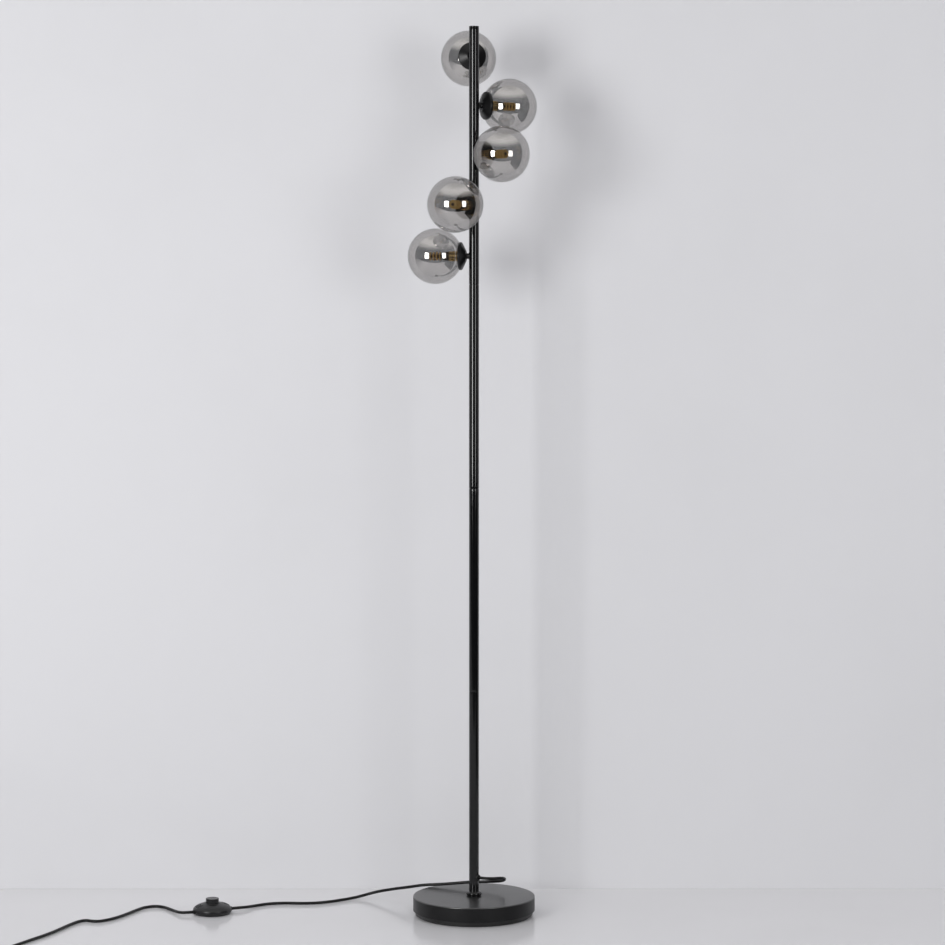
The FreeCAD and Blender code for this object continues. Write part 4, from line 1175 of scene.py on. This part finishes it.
# --- Foot switch ---
@dataclass
class FootSwitch:
    """Round foot switch on the lead; its own frame has X along the lead."""

    middle: tuple[float, float] = (-0.4787, 0.010)
    turn: float = 25.0
    radius: float = 0.0353
    bottom_radius: float = 0.0325
    bottom_round: float = 0.0012
    belly: float = 0.0046
    belly_round: float = 0.0018
    seam: float = 0.007
    dome_height: float = 0.0135
    wall: float = 0.002
    floor_round: float = 0.001
    collar_width: float = 0.0018
    collar_drop: float = 0.0030
    ledge: tuple[float, ...] = (0.0160, 0.0180, 0.0198)
    ledge_end: float = 0.0202
    dome_start: float = 0.0206
    dome_steps: int = 24
    dot_rows: tuple[float, ...] = (0.0225, 0.0247, 0.0268, 0.0288, 0.0306)
    dot_pitch: float = 0.0026
    dot_radius: float = 0.00095
    dot_height: float = 0.0008
    dot_sink: float = 0.00015
    button_radius: float = 0.012
    button_gap: float = 0.0003
    button_top: float = 0.028
    button_wall: float = 0.0024
    button_round: float = 0.0013
    button_rim: float = 0.0022
    dish_radius: float = 0.004
    flange_radius: float = 0.0136
    flange: float = 0.0152
    flange_thickness: float = 0.0015
    lead_height: float = 0.0055
    lead_radius: float = LEAD_RADIUS
    gland_radius: float = 0.0042
    gland_inner: float = 0.027
    gland_outer: float = 0.037
    gland_ribs: int = 3
    rib_start: float = 0.55
    rib_pitch: float = 0.13
    rib_depth: float = 0.0007
    travel: float = 0.0035
    spring_radius: float = 0.0056
    spring_wire: float = 0.0006
    spring_turns: int = 5
    spring_steps: int = 28
    wire_sides: int = 12

    @property
    def place(self) -> Matrix:
        """Frame of the switch."""
        return (Matrix.Translation((*self.middle, 0.0))
                @ Matrix.Rotation(math.radians(self.turn), 4, "Z"))

    def dome(self, radius: float, inset: float = 0.0) -> float:
        """Height of the dome's skin at a radius."""
        share = min(1.0, radius / (self.radius - inset))
        return self.seam + (self.dome_height - inset) * math.sqrt(1.0 - share ** 2)

    def build(self) -> None:
        """Make every piece of the switch."""
        self.lower_shell()
        self.upper_shell()
        self.button()
        self.glands()
        self.spring()
        dress(ZINC, "switch_screws")
        dress(WHITE_PLASTIC, "switch_contacts")

    def lower_shell(self) -> None:
        """Shallow dish on the floor, with a fine lip under the seam."""
        inner, lip = self.radius - self.wall, self.seam - HAIR
        turned("switch_base", Slot.PLASTIC, SWITCH_PLASTIC, rounded([
            (0.0, 0.0), (self.bottom_radius, 0.0, self.bottom_round),
            (self.radius, self.belly, self.belly_round), (self.radius, lip, SOFT), (inner, lip),
            (inner, self.belly), (self.bottom_radius - self.wall, self.wall, self.floor_round),
            (0.0, self.wall),
        ], 6), self.place, 128, False)

    def upper_shell(self) -> None:
        """Dome with two shallow steps round the button and grips of small dots."""
        hole, inner = self.button_radius + self.button_gap, self.radius - self.wall
        start = self.dome_start
        crest, ledge = hole + self.collar_width, hole + self.collar_width + SMALL
        top = [(hole, self.dome(hole) - self.collar_drop), (hole, self.dome(hole) - FINE),
               (hole + FINE, self.dome(hole) + HAIR / 2), (crest, self.dome(crest) + HAIR / 2)]
        top += [(radius, self.dome(radius) - SMALL) for radius in (ledge, *self.ledge)]
        top += [(self.ledge_end, self.dome(self.ledge_end)), (start, self.dome(start) + HAIR / 4)]
        radii = [start + (self.radius - start) * math.sin(math.pi / 2 * step / self.dome_steps)
                 for step in range(1, self.dome_steps + 1)]
        top += [(radius, max(self.dome(radius), self.seam + EASY)) for radius in radii]
        top += [(self.radius, self.seam + EASY), (self.radius - SMALL, self.seam),
                (inner, self.seam)]
        inside = [(radius, self.dome(radius, self.wall)) for radius in
                  [inner - (inner - hole) * step / 10 for step in range(1, 11)]]
        shape = Shape("switch_cover")
        shape.turn(top + inside, SWITCH_PLASTIC, self.place, 128, True)
        self.dots(shape)
        shape.done(Slot.PLASTIC, sharp=30.0)

    def dots(self, shape: Shape) -> None:
        """Add the two grips of small raised dots.

        Args:
            shape: the upper shell.
        """
        r, high = self.dot_radius, self.dot_height
        outline = [(r, 0.0), (r * 0.82, high * 0.6), (r * 0.4, high * 0.94), (0.0, high)]
        for side in (0.0, math.pi):
            for row, radius in enumerate(self.dot_rows):
                height, spread = self.dome(radius), 7 - row % 2
                grade = math.atan2((self.dome_height / self.radius) ** 2 * radius,
                                   height - self.seam)
                for dot in range(spread):
                    angle = side + (dot - (spread - 1) / 2) * self.dot_pitch / radius
                    lean = (Matrix.Rotation(angle, 4, "Z")
                            @ Matrix.Translation((radius, 0.0, height - self.dot_sink))
                            @ Matrix.Rotation(grade, 4, "Y"))
                    shape.turn(outline, BUTTON_PLASTIC, self.place @ lean, 10)

    def button(self) -> None:
        """Round button with a soft rim and a faintly dished top."""
        r, top, edge = self.button_radius, self.button_top, self.flange_radius
        inside, ceiling = r - self.button_wall, top - self.button_wall
        low, high, rim = self.flange, self.flange + self.flange_thickness, r - self.button_rim
        turned("switch_button", Slot.PLASTIC, BUTTON_PLASTIC, rounded([
            (0.0, ceiling), (inside, ceiling, SOFT), (inside, low), (edge, low, HAIR),
            (edge, high, HAIR), (r, high), (r, top, self.button_round), (rim, top, SMALL),
            (rim - EASY, top - FINE, FINE), (self.dish_radius, top - SMALL), (0.0, top - SMALL),
        ], 6), self.place, closed=False, body=FOOT_BUTTON)

    def spring(self) -> None:
        """Wound spring that the button presses together."""
        (_, _, low), (_, _, high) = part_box("switch_spring")
        height, steps = high - low, self.spring_steps * self.spring_turns
        wire, rise = self.spring_wire, (high - low - 2 * self.spring_wire) / steps
        sides = [2 * math.pi * side / self.wire_sides for side in range(self.wire_sides)]
        rings = []
        for step in range(steps + 1):
            angle = 2 * math.pi * self.spring_turns * step / steps
            outward = Vector((math.cos(angle), math.sin(angle), 0.0))
            middle = outward * self.spring_radius + Vector((0.0, 0.0, low + wire + rise * step))
            rings.append([self.place @ (middle + outward * wire * math.cos(side)
                                        + Vector((0.0, 0.0, wire * math.sin(side))))
                          for side in sides])
        piece = Shape("switch_spring").rings(rings, ZINC, caps=True).done(Slot.STEEL, sharp=60.0)
        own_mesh(piece)

    def glands(self) -> None:
        """Ribbed sleeves where the lead enters and leaves."""
        shape = Shape("switch_glands")
        r, groove, inner = self.gland_radius, self.gland_radius - self.rib_depth, self.gland_inner
        length = self.gland_outer - inner
        corners: list[Corner] = [(self.lead_radius, inner), (r, inner, FINE)]
        for rib in range(self.gland_ribs):
            start = inner + length * (self.rib_start + self.rib_pitch * rib)
            corners += [(r, start), (groove, start + 0.0004), (groove, start + 0.0009),
                        (r, start + 0.0013)]
        corners += [(r, self.gland_outer, BROAD), (self.lead_radius, self.gland_outer)]
        for turn in (0.0, math.pi):
            along = (self.place @ Matrix.Rotation(turn, 4, "Z")
                     @ Matrix.Translation((0.0, 0.0, self.lead_height))
                     @ Matrix.Rotation(math.pi / 2, 4, "Y"))
            shape.turn(rounded(corners, 4), RUBBER, along, 40, True)
        shape.done(Slot.RUBBER)


# --- Plug ---
@dataclass
class Plug:
    """Flat two-pin plug with a tapered, ribbed relief; its own frame has X along the lead."""

    end: Triple = (-0.9270, -0.3070, 0.0069)
    before: Triple = (-0.9196, -0.3276, 0.0069)
    relief: float = 0.030
    relief_tip: float = 0.0036
    relief_base: float = 0.0056
    relief_ribs: int = 8
    first_rib: float = 0.06
    rib_pitch: float = 0.115
    rib_depth: float = 0.0009
    length: float = 0.036
    width: float = 0.035
    tail_share: float = 0.8
    tail_width: float = 0.016
    waist_depth: float = 0.035
    waist_place: float = 0.72
    waist_reach: float = 0.12
    thickness: float = 0.0138
    body_steps: int = 14
    edge: float = 0.002
    facets: int = 48
    pin_gap: float = 0.0093
    pin_radius: float = 0.0020
    pin_skin: float = 0.0019
    pin_sleeve: float = 0.009
    pin_length: float = 0.0190
    pin_round: float = 0.0014

    @property
    def place(self) -> Matrix:
        """Frame of the plug."""
        way = Vector(self.end) - Vector(self.before)
        return Matrix.Translation(self.end) @ Matrix.Rotation(math.atan2(way.y, way.x), 4, "Z")

    def section(self, along: float, width: float, height: float, power: float) -> list[Vector]:
        """Rounded-square section across the lead.

        Args:
            along: its place along the lead.
            width: width across the pins.
            height: height.
            power: 2 for an ellipse, more for a squarer form.

        Returns:
            Points of the section.
        """
        ring = []
        for index in range(self.facets):
            angle = 2 * math.pi * index / self.facets
            c, s = math.cos(angle), math.sin(angle)
            ring.append(self.place @ Vector((
                along, width / 2 * math.copysign(abs(c) ** (2 / power), c),
                height / 2 * math.copysign(abs(s) ** (2 / power), s))))
        return ring

    def build(self) -> list[bpy.types.Object]:
        """Make the moulding and the pins.

        Returns:
            Both pieces.
        """
        body = Shape("plug_body").rings(self.relief_rings() + self.body_rings(), PLUG_PLASTIC,
                                        caps=True)
        pins = Shape("plug_pins")
        for side in (-self.pin_gap, self.pin_gap):
            along = (self.place @ Matrix.Translation((self.relief + self.length, side, 0.0))
                     @ Matrix.Rotation(math.pi / 2, 4, "Y"))
            r, skin, sleeve = self.pin_radius, self.pin_skin, self.pin_sleeve
            pins.turn(rounded([(0.0, 0.0), (r, 0.0), (r, sleeve)], 2), PLUG_PLASTIC, along, 24)
            pins.turn(rounded([(skin, sleeve), (skin, self.pin_length, self.pin_round),
                               (0.0, self.pin_length)], 6), NICKEL, along, 24)
        return [body.done(Slot.SHEATH, sharp=50.0), pins.done(Slot.NICKEL)]

    def relief_rings(self) -> list[list[Vector]]:
        """Sections of the relief: a ridge and a groove for each rib.

        Returns:
            Rings in order.
        """
        tip = 2 * self.relief_tip - 0.001
        rings = [self.section(0.0, tip, tip, 2.0)]
        for rib in range(self.relief_ribs):
            start = self.relief * (self.first_rib + self.rib_pitch * rib)
            ridge = self.relief_tip + (self.relief_base - self.relief_tip) * start / self.relief
            groove = ridge - self.rib_depth
            for step, radius in ((0.0, ridge), (0.0018, ridge), (0.0021, groove),
                                 (0.0031, groove)):
                rings.append(self.section(start + step, 2 * radius, 2 * radius, 2.0))
        return rings

    def body_rings(self) -> list[list[Vector]]:
        """Sections of the body, which swells from the relief to a flat, waisted grip.

        Returns:
            Rings in order.
        """
        rings, tail = [], self.tail_width * self.tail_share
        for step in range(self.body_steps + 1):
            share = step / self.body_steps
            swell = math.sin(math.pi / 2 * min(1.0, share / 0.55))
            height = 2 * self.relief_base \
                + (self.thickness - 2 * self.relief_base) * min(1.0, share * 4)
            pinch = math.exp(-((share - self.waist_place) / self.waist_reach) ** 2)
            width = (tail + (self.width - tail) * swell) * (1.0 - self.waist_depth * pinch)
            along = self.relief + HAIR + (self.length - 0.0012) * share
            rings.append(self.section(along, width, height, 2.4 + 2.2 * min(1.0, share * 2.5)))
        rings.append(self.section(self.relief + self.length, self.width - self.edge,
                                  self.thickness - self.edge, 4.6))
        return rings


# --- Lead ---
POLE_ROUTE: list[Triple] = [
    (0.0346, -0.0128, 0.0686), (0.0496, -0.0038, 0.0680), (0.0570, 0.0120, 0.0636),
    (0.0548, 0.0306, 0.0564), (0.0436, 0.0446, 0.0518), (0.0210, 0.0530, 0.0494),
    (-0.0080, 0.0590, 0.0476), (-0.0370, 0.0665, 0.0436), (-0.0650, 0.0720, 0.0404),
    (-0.0940, 0.0780, 0.0382), (-0.1210, 0.0920, 0.0312), (-0.1510, 0.1140, 0.0230),
    (-0.1850, 0.1360, 0.0128), (-0.2170, 0.1350, 0.0034), (-0.2480, 0.1100, 0.0028),
    (-0.2810, 0.0880, 0.0028), (-0.3160, 0.0805, 0.0028), (-0.3500, 0.0855, 0.0028),
    (-0.3800, 0.0790, 0.0028), (-0.4020, 0.0630, 0.0028), (-0.4150, 0.0460, 0.0040),
]
FLOOR_ROUTE: list[Triple] = [
    (-0.5390, -0.0025, 0.0044), (-0.5490, 0.0155, 0.0032), (-0.5595, 0.0325, 0.0028),
    (-0.5695, 0.0465, 0.0028), (-0.5800, 0.0545, 0.0028), (-0.5905, 0.0565, 0.0028),
    (-0.6010, 0.0515, 0.0028), (-0.6115, 0.0400, 0.0028), (-0.6210, 0.0186, 0.0028),
    (-0.6320, -0.0077, 0.0028), (-0.6450, -0.0360, 0.0028), (-0.6600, -0.0575, 0.0028),
    (-0.6755, -0.0705, 0.0028), (-0.6880, -0.0690, 0.0028), (-0.6985, -0.0615, 0.0028),
    (-0.7090, -0.0665, 0.0028), (-0.7190, -0.0850, 0.0028), (-0.7310, -0.1170, 0.0028),
    (-0.7430, -0.1530, 0.0028), (-0.7570, -0.1850, 0.0028), (-0.7760, -0.2214, 0.0028),
    (-0.7930, -0.2560, 0.0028), (-0.8113, -0.2921, 0.0028), (-0.8285, -0.3167, 0.0028),
]
PLUG_ROUTE: list[Triple] = [
    (-0.8614, -0.3488, 0.0082), (-0.8833, -0.3507, 0.0074), (-0.9040, -0.3432, 0.0069),
    (-0.9196, -0.3276, 0.0069), (-0.9270, -0.3070, 0.0069),
]


@dataclass
class Lead:
    """Mains lead: from the pole to the foot switch, and from there to the coil and the plug."""

    outlet: LeadExit
    switch: FootSwitch
    plug_pieces: list[bpy.types.Object]
    radius: float = LEAD_RADIUS
    clamp_reach: float = 0.0035
    exit_corner: float = 0.0198
    switch_corner: float = 0.052
    terminal: float = 0.017
    coil_corner: float = 0.016
    coil_radius: float = 0.035
    coil_turns: float = 1.75
    coil_gap: float = 0.00045
    coil_points: int = 16

    def switch_point(self, reach: float) -> Vector:
        """Point on the lead's line through the switch."""
        return self.switch.place @ Vector((reach, 0.0, self.switch.lead_height))

    def exit_point(self, reach: float) -> Vector:
        """Point on the grommet's line."""
        return self.outlet.place @ Vector((0.0, 0.0, reach))

    def coil(self, start: Vector, way: Vector) -> list[Vector]:
        """Lay the control points of the two-layer coil.

        Args:
            start: where the lead reaches the coil.
            way: its direction there.

        Returns:
            Points from the coil's first turn to its straight end.
        """
        pitch = 2 * self.radius + self.coil_gap
        straight = 2 * self.radius
        across = Vector((way.y, -way.x, 0.0))
        centre = start + way * straight + across * self.coil_radius
        first_angle = math.atan2(-across.y, -across.x)
        layer = 4 * self.coil_turns
        total = 2 * layer + 2
        outset = 1.0 / math.cos(math.pi / self.coil_points)
        count = int(round(total / 4 * self.coil_points))
        points = []
        for index in range(count):
            step = (index + 0.5) * total / count
            radius = (self.coil_radius - pitch / 4 * min(step, total - step)) * outset
            climbed = min(max(step - layer, 0.0), 2.0) / 2
            angle = first_angle - step * math.pi / 2
            points.append(centre + Vector((radius * math.cos(angle), radius * math.sin(angle),
                                           pitch * (1 - math.cos(math.pi * climbed)) / 2)))
        points.append(centre - across * self.coil_radius + way * straight
                      + Vector((0.0, 0.0, pitch)))
        return points

    def tube(self, name: str, points: Sequence[Vector]) -> tuple[bpy.types.Object, float]:
        """One smooth round lead along control points.

        Args:
            name: the piece's name.
            points: control points, in metres.

        Returns:
            The piece and the length of its line.
        """
        data = bpy.data.curves.new(name, "CURVE")
        data.dimensions = "3D"
        data.bevel_resolution = 6
        data.resolution_u = 6
        data.use_fill_caps = True
        spline = data.splines.new("NURBS")
        spline.points.add(len(points) - 1)
        for control, point in zip(spline.points, points):
            control.co = (*point, 1.0)
        spline.order_u = 3
        spline.use_endpoint_u = True
        data.materials.append(SHEATH.material())
        piece = put(name, data)
        line = bpy.data.meshes.new_from_object(piece)
        places = [vertex.co for vertex in line.vertices]
        length = sum((places[edge.vertices[0]] - places[edge.vertices[1]]).length
                     for edge in line.edges)
        bpy.data.meshes.remove(line)
        data.bevel_depth = self.radius
        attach(piece, LAMP)
        LOG.info("%s: %.4f m", name, length)
        return piece, length

    def build(self) -> None:
        """Lay both stretches of the lead."""
        near, near_length = self.tube("lead_to_switch", [
            self.exit_point(self.clamp_reach), self.exit_point(self.exit_corner),
            *map(Vector, POLE_ROUTE), self.switch_point(self.switch_corner),
            self.switch_point(self.terminal)])
        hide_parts("cord_pole_run")
        self.exit_point(self.outlet.face)
        start = Vector(FLOOR_ROUTE[-1])
        way = (start - Vector(FLOOR_ROUTE[-2])).normalized()
        coil = self.coil(start, way)
        far, far_length = self.tube("lead_to_plug", [
            self.switch_point(-self.terminal), self.switch_point(-self.switch_corner),
            *map(Vector, FLOOR_ROUTE), *coil, coil[-1] + way * self.coil_corner,
            *map(Vector, PLUG_ROUTE)])
        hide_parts("cord_floor_run", "cord_coil", "cord_plug_run")
        self.switch_point(-self.switch.gland_outer)


# --- Studio ---
@dataclass
class Studio:
    """Pale floor and wall, two soft boxes, and the camera at the photograph's place."""

    floor_reach: float = 9.0
    floor_sink: float = 0.0004
    wall_y: float = 0.2195
    wall_reach: float = 4.5
    wall_top: float = 4.2
    lens: float = 104.37
    eye: Triple = (-0.0027, -4.950, 1.090)
    pitch_down: float = 3.2555
    box_distance: float = 4.0
    box_angle: float = 36.0
    box_size: tuple[float, float] = (1.15, 1.52)
    box_height: float = 1.3
    aim: Triple = (0.0, 0.0, 1.2)
    wall_gap: float = 0.0012
    lit_right: float = 1.2
    lit_front: float = -2.1
    unlit_reach: float = 8.6
    unlit_height: float = 0.02
    key_power: float = 70.0
    fill_power: float = 28.5
    dark_room: Triple = (0.025, 0.025, 0.025)
    ceiling_light: Triple = (1.08, 1.07, 1.05)
    light_behind: Triple = (0.62, 0.62, 0.63)
    soft_light: Triple = (0.42, 0.42, 0.43)
    pale_light: Triple = (0.74, 0.74, 0.76)

    def build(self) -> None:
        """Set up the room, the lights and the camera."""
        r, z = self.floor_reach, -self.floor_sink
        floor = self.sheet("studio_floor", [(-r, -r, z), (r, -r, z), (r, r, z), (-r, r, z)], FLOOR)
        x, y, low, high = self.wall_reach, self.wall_y, self.wall_gap, self.wall_top
        self.sheet("studio_wall", [(-x, y, low), (x, y, low), (x, y, high), (-x, y, high)], WALL)
        self.dark_floor()
        self.softbox("key_box", -self.box_angle, self.key_power, floor)
        self.softbox("fill_box", self.box_angle, self.fill_power, floor)
        self.world()
        self.camera()

    def sheet(self, name: str, corners: Sequence[Triple], finish: Finish) -> bpy.types.Object:
        """Flat stage surface whose front faces the room.

        Args:
            name: name of the sheet.
            corners: its corners, in order.
            finish: what it is made of.

        Returns:
            The sheet.
        """
        data = bpy.data.meshes.new(name)
        data.from_pydata(corners, [], [tuple(range(len(corners)))])
        data.materials.append(finish.material())
        piece = put(name, data)
        return piece

    def dark_floor(self) -> None:
        """Dark sheets on the right and round the camera that only reflections see: a painted dark
        reflection, standing in for an unlit floor.
        """
        x, y, z, far = self.lit_right, self.lit_front, self.unlit_height, self.unlit_reach
        right = [(x, -x - 0.1, z), (far, -far - 0.1, z), (far, 0.2, z), (x, 0.2, z)]
        front = [(-9.0, -8.9, z), (far + 0.2, -8.9, z), (-y - 0.1, y, z), (-9.0, y, z)]
        for name, corners in (("dark_floor_right", right), ("dark_floor_front", front)):
            piece = self.sheet(name, corners, DARK_REFLECTION_SHEET)
            for ray in ("camera", "diffuse", "shadow", "transmission", "volume_scatter"):
                setattr(piece, "visible_" + ray, False)

    def softbox(self, name: str, angle: float, power: float, floor: bpy.types.Object) -> None:
        """Rectangular soft box at an angle from the camera's side, aimed at the lamp's head.

        A twin that no reflection sees lights the floor, so the box leaves no glare on it.

        Args:
            name: name of the box.
            angle: degrees from the camera's side, seen from above.
            power: power of the box in watts.
            floor: floor of the studio.
        """
        turn, reach = math.radians(angle), self.box_distance
        place = Vector((math.sin(turn) * reach, -math.cos(turn) * reach, self.box_height))
        lean = (Vector(self.aim) - place).to_track_quat("-Z", "Y").to_euler()
        for part, state in ((name, "EXCLUDE"), (name + "_floor", "INCLUDE")):
            light = bpy.data.lights.new(part, "AREA")
            light.shape = "RECTANGLE"
            light.size, light.size_y = self.box_size
            light.energy = power
            piece = put(part, light)
            piece.location, piece.rotation_euler = place, lean
            piece.visible_camera = False
            piece.visible_glossy = state == "EXCLUDE"
            lit = bpy.data.collections.new(part + "_lit")
            lit.objects.link(floor)
            piece.light_linking.receiver_collection = lit
            lit.collection_objects[0].light_linking.link_state = state

    def world(self) -> None:
        """Pale surroundings to the eye; a dark room with a bright ceiling in reflections."""
        world = bpy.data.worlds.new("studio")
        bpy.context.scene.world = world
        world.use_nodes = True
        tree = ShaderTree(world.node_tree)
        way = tree.node("ShaderNodeTexCoord", output="Generated")
        up, depth = tree.axis("Z", way), tree.axis("Y", way)
        ceiling = up.band(0.38, 0.78) - up.band(0.84, 1.0) * 0.4
        behind = depth.band(-0.1, 0.35)
        room = tree.blend(ceiling, self.dark_room, self.ceiling_light)
        room = tree.blend(behind, room, self.light_behind)
        even = tree.node("ShaderNodeLightPath", output="Is Diffuse Ray")
        soft = tree.blend(even, room, self.soft_light)
        seen = tree.node("ShaderNodeLightPath", output="Is Camera Ray")
        through = tree.node("ShaderNodeLightPath", output="Is Transmission Ray")
        pale = tree.blend(seen.math("MAXIMUM", seen, through), soft, self.pale_light)
        sky = tree.node("ShaderNodeBackground", values={"Color": pale, "Strength": 1.0})
        tree.node("ShaderNodeOutputWorld", values={"Surface": sky})

    def camera(self) -> None:
        """Camera at the photograph's place and angle."""
        data = bpy.data.cameras.new("camera")
        data.lens = self.lens
        data.sensor_width = 36.0
        data.clip_end = 60.0
        eye = put("camera", data)
        eye.location = self.eye
        eye.rotation_euler = (math.radians(90.0 - self.pitch_down), 0.0, 0.0)
        bpy.context.scene.camera = eye


def main() -> None:
    """Build the studio, the switch and the lead, and then the lamp from the floor up."""
    logging.basicConfig(level=logging.INFO, format="%(message)s")
    bpy.context.scene.view_settings.view_transform = "Standard"
    Studio().build()
    outlet, switch = LeadExit(), FootSwitch()
    switch.build()
    Lead(outlet, switch, Plug().build()).build()
    Base().build()
    Pole().build()
    outlet.build()
    for number, arm in enumerate(Arm, start=1):
        GlobeFitting(number, arm).build()
    dress(ZINC, "cup_locknuts")


if __name__ == "__main__":
    main()
